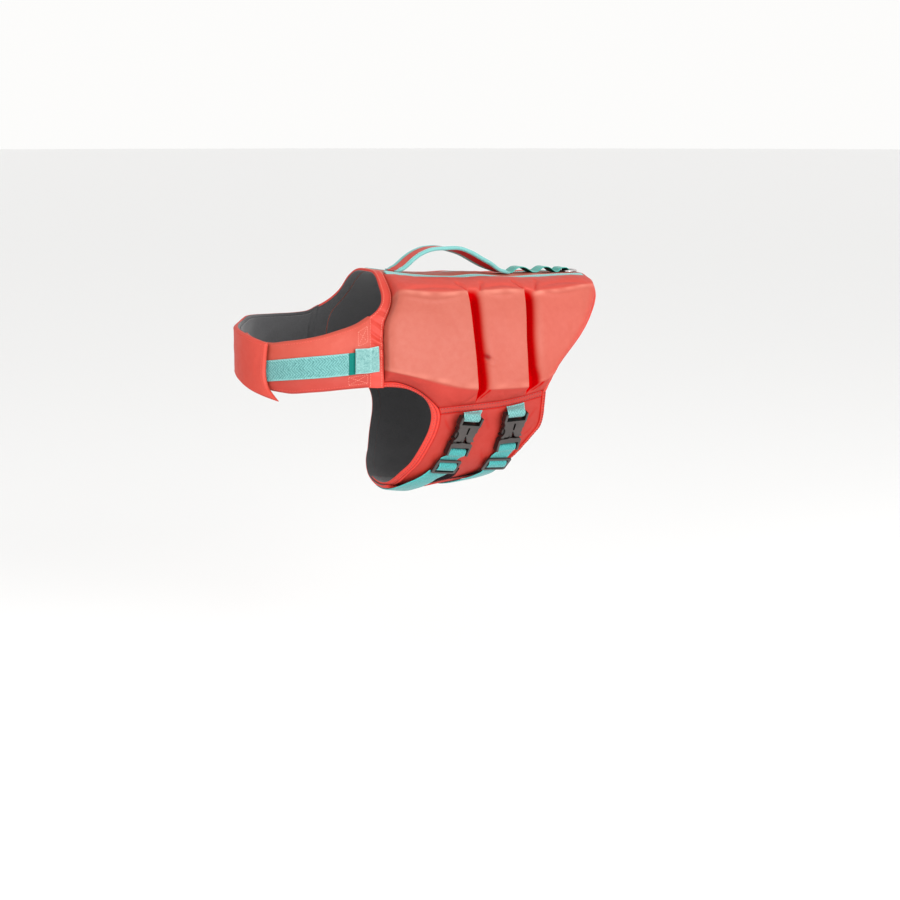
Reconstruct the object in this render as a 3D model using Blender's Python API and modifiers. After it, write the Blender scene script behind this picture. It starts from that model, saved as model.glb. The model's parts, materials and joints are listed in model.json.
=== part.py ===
"""A dog's life jacket in its worn form: foam side panels, spine, collar, belly flaps, webbing, buckles.

+X runs towards the tail and +Z is up. The figure's outside is mapped by x and by s, the way round it
from the middle of the back: s is minus on the left side (-Y) and plus on the right. A lift is the
distance out from the figure. Tables and lengths are in millimetres; Blender gets metres.
"""
import bpy
import bmesh
import numpy as np
from math import atan2, cos, exp, hypot, pi, radians, sin
from mathutils import Matrix, Vector

MM = 0.001
SEAM = 0.4          # gap at a seam
LAY = 0.45          # gap below what lies on a panel
EDGE = 3.2          # thickness of a panel at its seams
PAD = 18.0          # thickness of a foam chamber
COLLAR = 7.0        # thickness of the collar
FLAP = 2.4          # thickness of a belly flap
WEB = 1.6           # thickness of the webbing
WIDE = 25.0         # width of the webbing
LEFT, RIGHT = -1, 1


def table(names, rows):
    """A table with named columns."""
    return dict(zip(names.split(), np.array(rows, float).T))


FIGURE = table("x back belly half", [
    (-215, 14.7, -231.3, 76), (-160, 11.7, -243.3, 83), (-110, 8.7, -252.3, 86), (-60, 6.2, -248.8, 87),
    (-10, 4.8, -244.3, 86), (40, 2.7, -231.3, 83), (90, 0.7, -211.3, 79), (145, -1.3, -190.3, 73)])
SAG = table("x drop", [
    (-215, 2), (-155, 2), (-110, -1.8), (-58, -4), (-25, -2.2), (20, -5), (60, -3.2), (100, -1.5), (150, 0)])
SAG_AT, SAG_WIDTH = 30.0, 18.0       # where the back seams sag, and over what width
FLAT = table("x drop", [
    (-215, -0.5), (-160, -0.7), (-142, -2.2), (-115, -3.8), (-60, -3.3), (-30, -2.6), (0, -4.2), (20, -5.0),
    (50, -4.4), (90, -4.3), (145, -4.6)])
FLAT_WIDTH = 17.0                    # how the middle of the back is flattened, and over what width
WIDEST = 0.42                        # height of the widest place, from the top
ROUND_UP, ROUND_DOWN = 2.1, 2.2      # powers of the section's upper and lower halves

# Lines across the side panel: x at each s
FRONT = table("s x", [(29, -149.2), (48, -150.8), (64, -152.4), (76, -156.5), (86.2, -162.4), (97.8, -170.2),
                      (112, -174.2), (128.9, -175.4), (150, -175.5), (167, -175.4)])
REAR = table("s x", [(29, 131.5), (39.2, 132.3), (50.7, 131.8), (67.7, 126.2), (93.5, 109.8), (114.2, 93.5),
                     (148, 62.8), (168.5, 49.8), (183, 42.5)])
GROOVE_1L = table("s x", [(29, -59), (72, -60.6), (115, -63.7), (150, -62), (177, -59.5), (200, -57.2)])
GROOVE_1R = table("s x", [(29, -45), (72, -47.2), (119, -52.1), (150, -50), (177, -47.2), (200, -54.5)])
GROOVE_2L = table("s x", [(29, 19), (70, 17.3), (119, 8.1), (150, 8.0), (178, 10.7), (200, 15.5)])
GROOVE_2R = table("s x", [(29, 33), (72, 28.3), (119, 18.8), (150, 20.5), (173, 26.5), (200, 18.5)])

# Lines along the side panel: s at each x
CREASE = table("x s", [(-176, 68), (-157, 68), (-98, 72.3), (-54, 71.2), (17, 70.1), (28, 72), (80, 67),
                       (113, 61), (136, 55)])
LOW_CREASE = table("x s", [(-178, 150), (-124, 163.8), (-64, 176), (11, 176), (30, 170), (60, 158)])
ARM_SEAM = [(-175.3, 165.7), (-159.4, 166.9), (-136.8, 175.0), (-119.8, 186.2), (-104.5, 200.4)]
LOW_SEAM = [(-104.5, 200.4), (-55.2, 197.7), (-7.9, 192.5), (43.0, 183.2)]

# Belly flap: x at each s of its front cut (the hole's edge), its front seam and its rear cut
ARM_CUT = table("s x", [(200, -115.6), (208.8, -112.8), (218, -112.6), (230, -114.5), (256, -123.1),
                        (276, -130.0), (291.8, -137.5), (312, -141.5), (346, -142.5), (380, -142.0)])
ARM_BAND = 11.0
HEM_CUT = table("s x", [(183, 46.3), (204.8, 47.2), (222, 48.0), (232.8, 47.0), (251.1, 35.6), (270, 26.5),
                        (290, 18.6), (315, 12.5), (346, 10.5), (380, 11.5)])
HEM_BAND = 6.0
OVERLAP = 20.0      # how far each belly flap passes the middle
UNDER, OVER = 60.0, 24.0     # the right flap rises from UNDER to OVER before the middle
RISE = 3.9          # lift of the right flap where it lies on the left one

# Neck band, from the middle of the back down to the collar seam: its open edge and its panel edge
NECK = table("xo so xi si thick", [
    (-158.0, 0, -147.3, 0, 3.8), (-158.8, 16, -147.8, 16, 3.8), (-160.6, 32, -149.4, 30, 3.8),
    (-163.0, 48, -150.8, 48, 4.0), (-164.6, 62, -152.4, 64, 4.4), (-168.5, 73, -156.5, 76, 5.0),
    (-176.0, 82, -162.4, 86.2, 5.8), (-184.5, 88, -166.8, 93, 6.6), (-191.2, 91.2, -170.2, 97.8, 7.2)])
SEAM_LINE = table("xo so xi si thick", [
    (-191.2, 91.2, -170.2, 97.8, 7.2), (-193.2, 105, -174.2, 112, 7.4), (-195.0, 127, -175.4, 130, 7.5),
    (-195.7, 150, -175.5, 151, 7.5), (-195.6, 170.2, -175.4, 172.1, 7.5)])

# Collar: a U path round the chest seen from above, and its edges at each angle from the left seam
PATH_X, PATH_LONG, PATH_WIDE, PATH_POWER = -180.0, 143.0, 88.0, 2.15
SEAM_ANGLE = 6.2
TOP_LEFT = table("a z", [(5.8, -33.1), (11.8, -41.3), (21.5, -48.5), (29.2, -53.1), (39.5, -56.9), (48.8, -58.8),
                         (61, -61.3), (78, -58.8), (96, -53.8)])
LOW_LEFT = table("a z", [(5.8, -115.9), (14.5, -116.3), (21.8, -117.1), (35.2, -119.3), (45.2, -121.4),
                         (52, -120.9), (62, -119.1), (78, -113.8), (96, -105.3)])
TOP_RIGHT = table("a z", [(60.8, -61.7), (72.2, -57), (85, -52.6), (100, -49.3), (120.5, -44.9),
                          (129.5, -40.8), (150, -40.8), (168, -39.3), (174.2, -33.1)])
LOW_RIGHT = table("a z", [(54, -128.7), (63.8, -124), (80.5, -116.1), (91.5, -109.8), (104, -103.8),
                          (125, -104.8), (150, -109.8), (174.2, -115.9)])
FREE_EDGE = table("v a", [(0, 60.8), (0.3, 62.2), (0.6, 62.8), (0.8, 61.0), (0.92, 57.0), (1, 53.6)])
TUCK = 9.9          # how far the left part lies inside the chest flap
TUCK_FROM, TUCK_TO = 22.0, 60.0
LINING = 1.2
WEB_ON = table("a top low", [(10, -72.7, -98.2), (34, -76.5, -101.9), (62, -82.5, -106.8), (75, -83.3, -107.6)])
TAB_LIFT, TAB_THICK = 2.4, 2.0

HANDLE = table("x z", [
    (-125, 0), (-121.5, 0.1), (-118, 0.8), (-113, 3.4), (-106, 8.8), (-98, 15.6), (-89, 21.2), (-77, 25.6),
    (-64, 27.2), (-50, 26.6), (-36, 24.2), (-22, 19.6), (-7, 13.0), (6, 7.6), (16, 3.6), (24, 1.3), (32, 0.3)])
# z above the back
HANDLE_HALF, HANDLE_TAPE, HANDLE_THICK = 16.0, 6.2, 4.2

LASH = table("x z", [
    (35, 0), (39, 0.5), (43, 3.0), (48, 5.8), (53, 6.4), (58, 5.6), (64, 2.6), (68, 0.4), (72, 0), (76, 0.5),
    (80, 3.0), (85, 5.8), (90, 6.2), (95, 4.6), (100, 1.2), (104, 0), (107.5, 0.8), (111, 4.2), (115, 5.0),
    (119.5, 4.6), (124, 0.8), (127, 0), (130, 0)])
LASH_HALF = 10.0
RING_X, RING_DEEP, RING_HALF, RING_WIRE = 116.0, 20.0, 13.6, 1.5

STRAPS = {
    1: table("x s", [(-62.5, 199), (-61, 209), (-65, 218), (-86, 284), (-87.5, 297), (-92, 304), (-101, 312),
                     (-113, 321), (-123, 332), (-127, 346)]),
    2: table("x s", [(-1.5, 192), (0.2, 203), (-1, 210), (-11, 290), (-12.2, 300), (-17.5, 308), (-28, 317),
                     (-40, 326), (-49.5, 336), (-53.5, 346)])}
STRAPS_RIGHT = {
    1: table("x s", [(-84, 206), (-92, 235), (-104, 265), (-116, 293), (-124, 320), (-127, 346)]),
    2: table("x s", [(-22, 198), (-28, 230), (-36, 262), (-45, 292), (-51, 320), (-53.5, 346)])}
# Middle of each buckle and slider, its way down the strap and its way across (squared up below)
BUCKLE = {1: ((-69.8, -84.3, -183.3), (-0.200, 0.400, -0.894), (0.986, 0.125, -0.109)),
          2: ((-2.3, -80.8, -183.7), (-0.030, 0.420, -0.907), (0.998, 0.062, -0.004))}
SLIDER = {1: ((-83.6, -65.2, -223.4), (-0.170, 0.601, -0.781), (0.985, 0.087, -0.148)),
          2: ((-9.0, -56.3, -228.4), (-0.100, 0.693, -0.714), (0.995, 0.056, -0.086))}
SLIDER_S = {1: 278.0, 2: 282.0}      # s where each slider lies
LONG = 1.2                           # length of the buckles, over their drawn outlines

COLOURS = {
    "coral": (0.80, 0.12, 0.07), "band": (0.72, 0.09, 0.06), "aqua": (0.16, 0.50, 0.48),
    "pale": (0.26, 0.62, 0.60), "dark_teal": (0.02, 0.32, 0.27), "grey": (0.10, 0.095, 0.09),
    "lining": (0.035, 0.035, 0.037), "loop": (0.03, 0.010, 0.015), "metal": (0.55, 0.55, 0.56)}


# ---------------------------------------------------------------- the figure that the cloth follows

def smooth(keys, values, k):
    """A smooth curve through the values at k, straight beyond its ends."""
    last = len(keys) - 2
    i = int(np.clip(np.searchsorted(keys, k) - 1, 0, last))

    def slope(j):
        a, b = max(j - 1, 0), min(j + 1, last + 1)
        return (values[b] - values[a]) / (keys[b] - keys[a])
    if k <= keys[0]:
        return values[0] + slope(0) * (k - keys[0])
    if k >= keys[-1]:
        return values[-1] + slope(last + 1) * (k - keys[-1])
    gap = keys[i + 1] - keys[i]
    t = (k - keys[i]) / gap
    return ((2 * t**3 - 3 * t**2 + 1) * values[i] + (t**3 - 2 * t**2 + t) * slope(i) * gap
            + (3 * t**2 - 2 * t**3) * values[i + 1] + (t**3 - t**2) * slope(i + 1) * gap)


def at(tab, key, value, k):
    return smooth(tab[key], tab[value], k)


def ease(a, b, k):
    """0 below a, 1 above b and a soft step between."""
    t = min(max((k - a) / (b - a), 0.0), 1.0)
    return t * t * (3 - 2 * t)


TURN = np.linspace(0, pi, 241)
sections = {}


def section(x):
    """Half a section of the figure: its half widths, heights and lengths from the back's middle."""
    key = round(x, 4)
    if key not in sections:
        back, belly, half = (at(FIGURE, "x", name, x) for name in ("back", "belly", "half"))
        high = back - belly
        upper = TURN < pi / 2
        power = 2 / np.where(upper, ROUND_UP, ROUND_DOWN)
        y = half * np.abs(np.sin(TURN)) ** power
        z = (back - WIDEST * high + np.where(upper, WIDEST, 1 - WIDEST) * high
             * np.sign(np.cos(TURN)) * np.abs(np.cos(TURN)) ** power)
        run = np.concatenate([[0], np.cumsum(np.hypot(np.diff(y), np.diff(z)))])
        sections[key] = (y, z, run)
    return sections[key]


def girth(x):
    """The way round from the middle of the back to the middle of the belly."""
    return section(x)[2][-1]


def figure(x, s):
    y, z, run = section(x)
    side, way = (1 if s >= 0 else -1), abs(s)
    if way > run[-1]:
        side, way = -side, 2 * run[-1] - way
    sag = at(SAG, "x", "drop", x) * exp(-((way - SAG_AT) / SAG_WIDTH) ** 2)
    flat = at(FLAT, "x", "drop", x) * exp(-(way / FLAT_WIDTH) ** 2)
    return np.array([x, side * np.interp(way, run, y), np.interp(way, run, z) + sag + flat])


def outward(x, s):
    step = 1.5
    along = figure(x + step, s) - figure(x - step, s)
    around = figure(x, s + step) - figure(x, s - step)
    n = np.cross(along, around)
    return n / np.linalg.norm(n)


def on(side, x, s, lift):
    """The point at x and at s on one side, lifted off the figure."""
    return figure(x, side * s) + lift * outward(x, side * s)


def collar(a, v, depth, top, low):
    """The point of the collar at angle a (degrees), v from its top to its lower edge, depth inwards."""
    turn = radians(a)
    power = 2 / PATH_POWER
    c, s = cos(turn), sin(turn)
    x = PATH_X - PATH_LONG * abs(s) ** power
    y = -PATH_WIDE * abs(c) ** power * (1 if c >= 0 else -1)
    n = np.array([-abs(s) ** (2 - power) / PATH_LONG, -abs(c) ** (2 - power) * (1 if c >= 0 else -1) / PATH_WIDE])
    n /= np.linalg.norm(n)
    side = LEFT if a < 90 else RIGHT
    z = at(top, "a", "z", a) * (1 - v) + at(low, "a", "z", a) * v
    p = np.array([x, y, z])
    near = min(a, 180 - a)
    fade = 1 - ease(SEAM_ANGLE, 48, near)
    if fade > 0:
        p = p + fade * lean(side, v)
    return p - depth * np.array([n[0], n[1], 0.0])


def seam_point(side, v, thick):
    """The collar end of the neck band, at v down it."""
    s = 91.2 + v * (170.2 - 91.2)
    return on(side, at(SEAM_LINE, "so", "xo", s), s, thick)


leans = {}


def lean(side, v):
    """From the U path to where the neck band really ends."""
    key = (side, round(v, 4))
    if key not in leans:
        turn, power = radians(SEAM_ANGLE), 2 / PATH_POWER
        z = TOP_LEFT["z"][0] * (1 - v) + LOW_LEFT["z"][0] * v
        path = np.array([PATH_X - PATH_LONG * sin(turn) ** power, side * PATH_WIDE * cos(turn) ** power, z])
        leans[key] = seam_point(side, v, at(SEAM_LINE, "so", "thick", 91.2 + 79 * v)) - path
    return leans[key]


# ---------------------------------------------------------------- making objects

for old in list(bpy.data.objects):
    bpy.data.objects.remove(old, do_unlink=True)
for old in list(bpy.data.collections):
    bpy.data.collections.remove(old)
PARTS = bpy.data.collections.new("dog_life_jacket")
CUTTERS = bpy.data.collections.new("cutters")
bpy.context.scene.collection.children.link(PARTS)
bpy.context.scene.collection.children.link(CUTTERS)
CUTTERS.hide_render = True


def material(name, colour):
    mat = bpy.data.materials.new(name)
    mat.use_nodes = True
    shader = mat.node_tree.nodes["Principled BSDF"]
    shader.inputs["Base Color"].default_value = (*COLOURS[colour], 1)
    shader.inputs["Roughness"].default_value = 0.6
    return mat


def add(name, verts, faces, colour, collection=None):
    """A closed mesh from millimetre points, turned so that it faces out."""
    mesh = bpy.data.meshes.new(name)
    mesh.from_pydata([tuple(float(c) * MM for c in p) for p in verts], [], faces)
    work = bmesh.new()
    work.from_mesh(mesh)
    if work.calc_volume(signed=True) < 0:
        bmesh.ops.reverse_faces(work, faces=work.faces)
    work.to_mesh(mesh)
    work.free()
    obj = bpy.data.objects.new(name, mesh)
    (collection or PARTS).objects.link(obj)
    if collection is None:
        mesh.materials.append(material(name, colour))
    return obj


def shell(name, rows, colour):
    """A wall from rows of (outer point, inner point) pairs."""
    r, c = len(rows), len(rows[0])
    outer = [pair[0] for row in rows for pair in row]
    inner = [pair[1] for row in rows for pair in row]
    size = r * c
    faces = []
    for i in range(r - 1):
        for j in range(c - 1):
            a, b, d, e = i * c + j, i * c + j + 1, (i + 1) * c + j + 1, (i + 1) * c + j
            faces.append((a, b, d, e))
            faces.append((size + e, size + d, size + b, size + a))
    rim = ([j for j in range(c)] + [i * c + c - 1 for i in range(1, r)]
           + [(r - 1) * c + j for j in range(c - 2, -1, -1)] + [i * c for i in range(r - 2, 0, -1)])
    for k, a in enumerate(rim):
        b = rim[(k + 1) % len(rim)]
        faces.append((b, a, size + a, size + b))
    return add(name, outer + inner, faces, colour)


def ring_wall(name, rows, colour):
    """A closed loop of sections, each a closed ring of points."""
    r, c = len(rows), len(rows[0])
    faces = [(i * c + j, i * c + (j + 1) % c, (i + 1) % r * c + (j + 1) % c, (i + 1) % r * c + j)
             for i in range(r) for j in range(c)]
    return add(name, [p for row in rows for p in row], faces, colour)


def resample(points, count):
    """Points spaced evenly along a smooth curve through the given ones."""
    pts = np.array(points, float)
    run = np.concatenate([[0], np.cumsum(np.linalg.norm(np.diff(pts, axis=0), axis=1))])
    return [np.array([smooth(run, pts[:, k], t) for k in range(pts.shape[1])])
            for t in np.linspace(0, run[-1], count)]


# ---------------------------------------------------------------- side panels

def low_edge(x):
    """s of the side panel's lower seam."""
    line = ARM_SEAM if x < ARM_SEAM[-1][0] else LOW_SEAM
    pts = np.array(line)
    return smooth(pts[:, 0], pts[:, 1], min(max(x, pts[0, 0]), pts[-1, 0]))


# A column: the line it follows, how far it lies from it (or, with a next line, its share of the way there),
# how thick it is there and if the groove cuts it
COLUMNS = [(FRONT, 0, 0.0, 0, None), (FRONT, 1.4, 0.62, 0, None), (FRONT, 5, 0.88, 0, None),
           (FRONT, 13, 1.0, 0, None), (FRONT, 0.24, 1.0, 0, GROOVE_1L), (FRONT, 0.37, 1.0, 0, GROOVE_1L),
           (FRONT, 0.5, 1.0, 0, GROOVE_1L), (FRONT, 0.63, 1.0, 0, GROOVE_1L), (FRONT, 0.76, 1.0, 0, GROOVE_1L),
           (FRONT, 0.88, 1.0, 0, GROOVE_1L), (GROOVE_1L, -4, 0.97, 0, None),
           (GROOVE_1L, 0, 0.88, 0.25, None), (GROOVE_1L, 1.6, 0.4, 1, None), (GROOVE_1R, -6.2, 0.36, 1, None),
           (GROOVE_1R, -3.6, 0.66, 1, None), (GROOVE_1R, 0.5, 0.92, 0.4, None), (GROOVE_1R, 7, 1.0, 0, None),
           (GROOVE_1R, 0.42, 1.0, 0, GROOVE_2L), (GROOVE_1R, 0.7, 1.0, 0, GROOVE_2L),
           (GROOVE_2L, -4, 0.97, 0, None),
           (GROOVE_2L, 0, 0.88, 0.25, None), (GROOVE_2L, 1.6, 0.4, 1, None), (GROOVE_2R, -6.2, 0.36, 1, None),
           (GROOVE_2R, -3.6, 0.66, 1, None), (GROOVE_2R, 0.5, 0.92, 0.4, None),
           (GROOVE_2R, 0.16, 1.0, 0, REAR), (GROOVE_2R, 0.42, 1.0, 0, REAR), (GROOVE_2R, 0.68, 0.97, 0, REAR),
           (REAR, -6, 0.72, 0, None), (REAR, -1.8, 0.42, 0, None), (REAR, 0, 0.0, 0, None)]
# A row: which line it is measured from, how far along, thickness there and strength of the grooves
ROWS = [("top", 0, EDGE, 0), ("top", 3, 3.5, 0), ("top", 8, 8.2, 0), ("up", 0.34, 12.0, 0),
        ("up", 0.7, 15.2, 0), ("crease", -4, 17.2, 0.12), ("crease", 1, PAD, 0.6), ("crease", 7, PAD, 0.95),
        ("mid", 0.12, PAD + 0.3, 1), ("mid", 0.25, PAD + 0.6, 1), ("mid", 0.37, PAD + 0.8, 1),
        ("mid", 0.54, PAD + 0.8, 1), ("mid", 0.77, PAD + 0.5, 1), ("low", -8, PAD, 1), ("low", 0, 17.4, 1),
        ("slope", 0.45, 12.8, 0.85), ("slope", 0.8, 7.6, 0.4), ("bottom", -1.5, 4.8, 0), ("bottom", 0, EDGE, 0)]
TOP_SEAM = 29.4


def row_s(kind, amount, x):
    crease, low = at(CREASE, "x", "s", x), min(at(LOW_CREASE, "x", "s", x), low_edge(x) - 12)
    if kind == "top":
        return TOP_SEAM + SEAM / 2 + amount
    if kind == "up":
        return (TOP_SEAM + SEAM / 2 + 8) * (1 - amount) + (crease - 4) * amount
    if kind == "crease":
        return crease + amount
    if kind == "mid":
        return (crease + 7) * (1 - amount) + (low - 8) * amount
    if kind == "low":
        return low + amount
    if kind == "slope":
        return low * (1 - amount) + low_edge(x) * amount
    return low_edge(x) - SEAM / 2 + amount


def side_panel(name, side):
    rows = []
    for kind, amount, thick, groove in ROWS:
        row = []
        for line, aside, full, cut, after in COLUMNS:
            inset = (SEAM if line is FRONT else -SEAM) if full == 0 else 0
            x = at(line, "s", "x", 80)
            for _ in range(30):
                s = row_s(kind, amount, x)
                goal = at(line, "s", "x", s)
                goal += aside * (at(after, "s", "x", s) - goal) if after else aside + inset
                x = 0.5 * x + 0.5 * goal
            share = 1 - groove * (1 - full) if cut else full
            lift = EDGE + (thick - EDGE) * share
            row.append((on(side, x, s, lift), on(side, x, s, 0)))
        rows.append(row)
    return shell(name, rows, "coral")


# ---------------------------------------------------------------- bands, spine and belly

def strip(name, side, edge_a, edge_b, thick_a, thick_b, colour, crown=0.5, lift=None):
    """A band between two lines of (x, s) points, domed a little across."""
    rows = []
    for k, (a, b) in enumerate(zip(edge_a, edge_b)):
        row = []
        ta = thick_a[k] if hasattr(thick_a, "__len__") else thick_a
        tb = thick_b[k] if hasattr(thick_b, "__len__") else thick_b
        for t, dome in ((0, 0), (0.5, 1), (1, 0)):
            x, s = np.array(a[:2]) * (1 - t) + np.array(b[:2]) * t
            base = lift(x, s) if lift else 0
            row.append((on(side, x, s, base + ta * (1 - t) + tb * t + crown * dome), on(side, x, s, base)))
        rows.append(row)
    return shell(name, rows, colour)


def neck_band():
    half = []
    for tab, count in ((NECK, 17), (SEAM_LINE, 8)):
        pts = list(zip(tab["xo"], tab["so"], tab["xi"], tab["si"], tab["thick"]))
        run = resample(pts, count)
        half += run if not half else run[1:]
    rows = []
    for side, line in ((LEFT, half[::-1]), (RIGHT, half[1:])):
        for xo, so, xi, si, thick in line:
            row = []
            a = np.array([xo, so])
            b = np.array([xi, si])
            b = b + (a - b) / np.linalg.norm(a - b) * SEAM / 2
            for t, dome in ((0, 0), (0.5, 1), (1, 0)):
                x, s = a * (1 - t) + b * t
                row.append((on(side, x, s, thick - 0.6 + 0.6 * dome), on(side, x, s, 0)))
            rows.append(row)
    return shell("neck_band", rows, "band")


def spine_panel():
    rows = []
    ways = [-TOP_SEAM + SEAM / 2, -23, -12, 0, 12, 23, TOP_SEAM - SEAM / 2]
    thick = [EDGE, 3.4, 3.4, 3.4, 3.4, 3.4, EDGE]
    for t in np.linspace(0, 1, 26):
        row = []
        for s, lift in zip(ways, thick):
            a = at(NECK, "so", "xi", abs(s)) + SEAM / 2
            b = rear_line(abs(s)) - SEAM / 2
            x = a * (1 - t) + b * t
            row.append((on(RIGHT, x, s, lift), on(RIGHT, x, s, 0)))
        rows.append(row)
    return shell("spine_panel", rows, "coral")


def rear_line(s):
    """x of the rear edge of spine and side panels."""
    return at(REAR, "s", "x", max(s, 29)) if s > 29 else REAR["x"][0] + 0.6 * (1 - (s / 29) ** 2)


def spine_tape(name, side):
    rows = []
    for x in np.linspace(-147.0, 130.0, 32):
        row = [(on(side, x, s, EDGE + LAY + 0.35 + 1.3), on(side, x, s, EDGE + LAY + 0.35))
               for s in (23.6, 31.8)]
        rows.append(row)
    return shell(name, rows, "aqua")


def rear_binding():
    """One strip round the whole rear edge, from the left belly over the back to the right belly."""
    half = [(rear_line(s), s) for s in np.linspace(0, 29, 4)]
    half += [(rear_line(s), s) for s in np.linspace(35, 183, 22)]
    rows = []
    for side in (LEFT, RIGHT):
        line = half[::-1] if side == LEFT else half[1:]
        for x, s in line:
            ahead = (rear_line(s + 1) - rear_line(max(s - 1, 0))) / (2 if s >= 1 else 1 + s)
            across = np.array([1.0, -ahead]) / hypot(1, ahead)
            wide = 4.0
            row = []
            for t, high in ((0, EDGE), (0.5, EDGE + 0.9), (1, EDGE - 0.4)):
                p = np.array([x, s]) + across * (SEAM + wide * t)
                row.append((on(side, p[0], p[1], high), on(side, p[0], p[1], 0)))
            rows.append(row)
    return shell("rear_binding", rows, "band")


def flap_lift(side):
    """How far a belly flap lies off the figure: the right one climbs over the left one."""
    if side == LEFT:
        return lambda x, s: 0.0
    return lambda x, s: RISE * ease(girth(x) - UNDER, girth(x) - OVER, s)


def belly_flap(name, side):
    lift = flap_lift(side)
    rows = []
    for v in np.linspace(0, 1, 19):
        row = []
        for u in (0, 0.07, 0.2, 0.35, 0.5, 0.65, 0.8, 0.93, 1):
            x = -100 + 140 * u
            for _ in range(40):
                top = low_edge(x) + SEAM / 2
                s = top + (girth(x) + OVERLAP - top) * v
                a = at(ARM_CUT, "s", "x", max(s, 200)) + ARM_BAND + SEAM
                b = at(HEM_CUT, "s", "x", s) - HEM_BAND - 2 * SEAM
                x = 0.5 * x + 0.5 * (a + (b - a) * u)
            base = lift(x, s)
            row.append((on(side, x, s, base + FLAP), on(side, x, s, base)))
        rows.append(row)
    return shell(name, rows, "coral")


def arm_band(name, side):
    """The band along the armhole, from the neck band round and down to the belly's middle."""
    lift = flap_lift(side)
    cut = [(-174.9, 172.3), (-162.6, 173.2), (-145.2, 176.6), (-131.6, 182.9), (-122.3, 189.5), (-115.9, 199.0),
           (-112.9, 208.8)]
    seam = [(-174.9, 166.2), (-159.6, 167.4), (-137.1, 175.6), (-120.2, 186.8), (-112.2, 193.8), (-105.1, 200.8),
            (-101.9, 208.8)]
    a, b = resample(cut, 13), resample(seam, 13)
    for s in np.linspace(215, girth(-140) + OVERLAP, 20):
        a.append(np.array([at(ARM_CUT, "s", "x", s), s]))
        b.append(np.array([at(ARM_CUT, "s", "x", s) + ARM_BAND, s]))
    return strip(name, side, a, b, 2.8, 2.8, "band", 0.5, lift)


def hem_band(name, side):
    """The band along the rear of a belly flap."""
    lift = flap_lift(side)
    a, b = [], []
    for s in np.linspace(185.6, girth(12) + OVERLAP, 21):
        x = at(HEM_CUT, "s", "x", s)
        a.append(np.array([x - HEM_BAND, s]))
        b.append(np.array([x, s]))
    return strip(name, side, a, b, 2.8, 2.6, "band", 0.4, lift)


# ---------------------------------------------------------------- collar

END = 180 - SEAM_ANGLE


def collar_left():
    rows = []
    for a in [SEAM_ANGLE + 0.2, 8, 11, 15, 20, 26, 32, 38, 44, 48, 52, 56, 60, 66, 73, 80, 88, 96]:
        row = []
        for v in np.linspace(0, 1, 7):
            d = TUCK * ease(TUCK_FROM, TUCK_TO, a)
            soft = 0.9 * (1 - (2 * v - 1) ** 6)
            squeeze = 0.02 * ease(TUCK_FROM, TUCK_TO, a)
            w = squeeze + v * (1 - 2 * squeeze)
            row.append((collar(a, w, d + 0.9 - soft, TOP_LEFT, LOW_LEFT),
                        collar(a, w, d + COLLAR, TOP_LEFT, LOW_LEFT)))
        rows.append(row)
    return shell("collar_left", rows, "coral")


def collar_right():
    rows = []
    for t in np.linspace(0, 1, 24):
        row = []
        for v in (0, 0.12, 0.35, 0.65, 0.8, 0.92, 1):
            a = at(FREE_EDGE, "v", "a", v) * (1 - t) + (END - 0.2) * t
            soft = 0.9 * (1 - (2 * v - 1) ** 6)
            row.append((collar(a, v, 0.9 - soft, TOP_RIGHT, LOW_RIGHT),
                        collar(a, v, COLLAR, TOP_RIGHT, LOW_RIGHT)))
        rows.append(row)
    return shell("collar_right", rows, "coral")


def collar_lining():
    rows = []
    for a in np.linspace(100, END - 3, 13):
        row = [(collar(a, v, COLLAR + 0.8, TOP_RIGHT, LOW_RIGHT),
                collar(a, v, COLLAR + 0.8 + LINING, TOP_RIGHT, LOW_RIGHT)) for v in (0.06, 0.5, 0.94)]
        rows.append(row)
    return shell("collar_lining", rows, "lining")


def collar_web(name, start, end, lift, thick, colour, steps):
    """Webbing on the collar from angle start to end."""
    rows = []
    for a in np.linspace(start, end, steps):
        d = TUCK * ease(TUCK_FROM, TUCK_TO, a)
        z0, z1 = at(TOP_LEFT, "a", "z", a), at(LOW_LEFT, "a", "z", a)
        top, low = at(WEB_ON, "a", "top", a), at(WEB_ON, "a", "low", a)
        row = []
        for z in (top, (top + low) / 2, low):
            v = (z - z0) / (z1 - z0)
            row.append((collar(a, v, d - lift - thick, TOP_LEFT, LOW_LEFT),
                        collar(a, v, d - lift, TOP_LEFT, LOW_LEFT)))
        rows.append(row)
    return shell(name, rows, colour)


def collar_fold():
    """The turned end of the webbing, just before the end tab."""
    return collar_web("collar_fold", 12.9, 15.0, LAY, WEB - 0.4, "dark_teal", 3)


def collar_end_tab():
    """A doubled tab over the end of the webbing, its other end sewn to the neck band."""
    rows = []
    for a in (12.5, 10.6, 8.4, 6.4):
        z0, z1 = at(TOP_LEFT, "a", "z", a), at(LOW_LEFT, "a", "z", a)
        row = []
        for z in (-68.7, -83.1, -97.5):
            v = (z - z0) / (z1 - z0)
            row.append((collar(a, v, -TAB_LIFT - TAB_THICK, TOP_LEFT, LOW_LEFT),
                        collar(a, v, -TAB_LIFT, TOP_LEFT, LOW_LEFT)))
        rows.append(row)
    for x, top, low, lift in ((-190.4, 124.9, 152.4, 1.5), (-182.8, 124.1, 152.2, LAY)):
        band = at(SEAM_LINE, "so", "thick", 138) + lift
        rows.append([(on(LEFT, x, s, band + TAB_THICK), on(LEFT, x, s, band))
                     for s in (top, (top + low) / 2, low)])
    return shell("collar_end_tab", rows, "pale")


# ---------------------------------------------------------------- handle, lash webbing and ring

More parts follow.
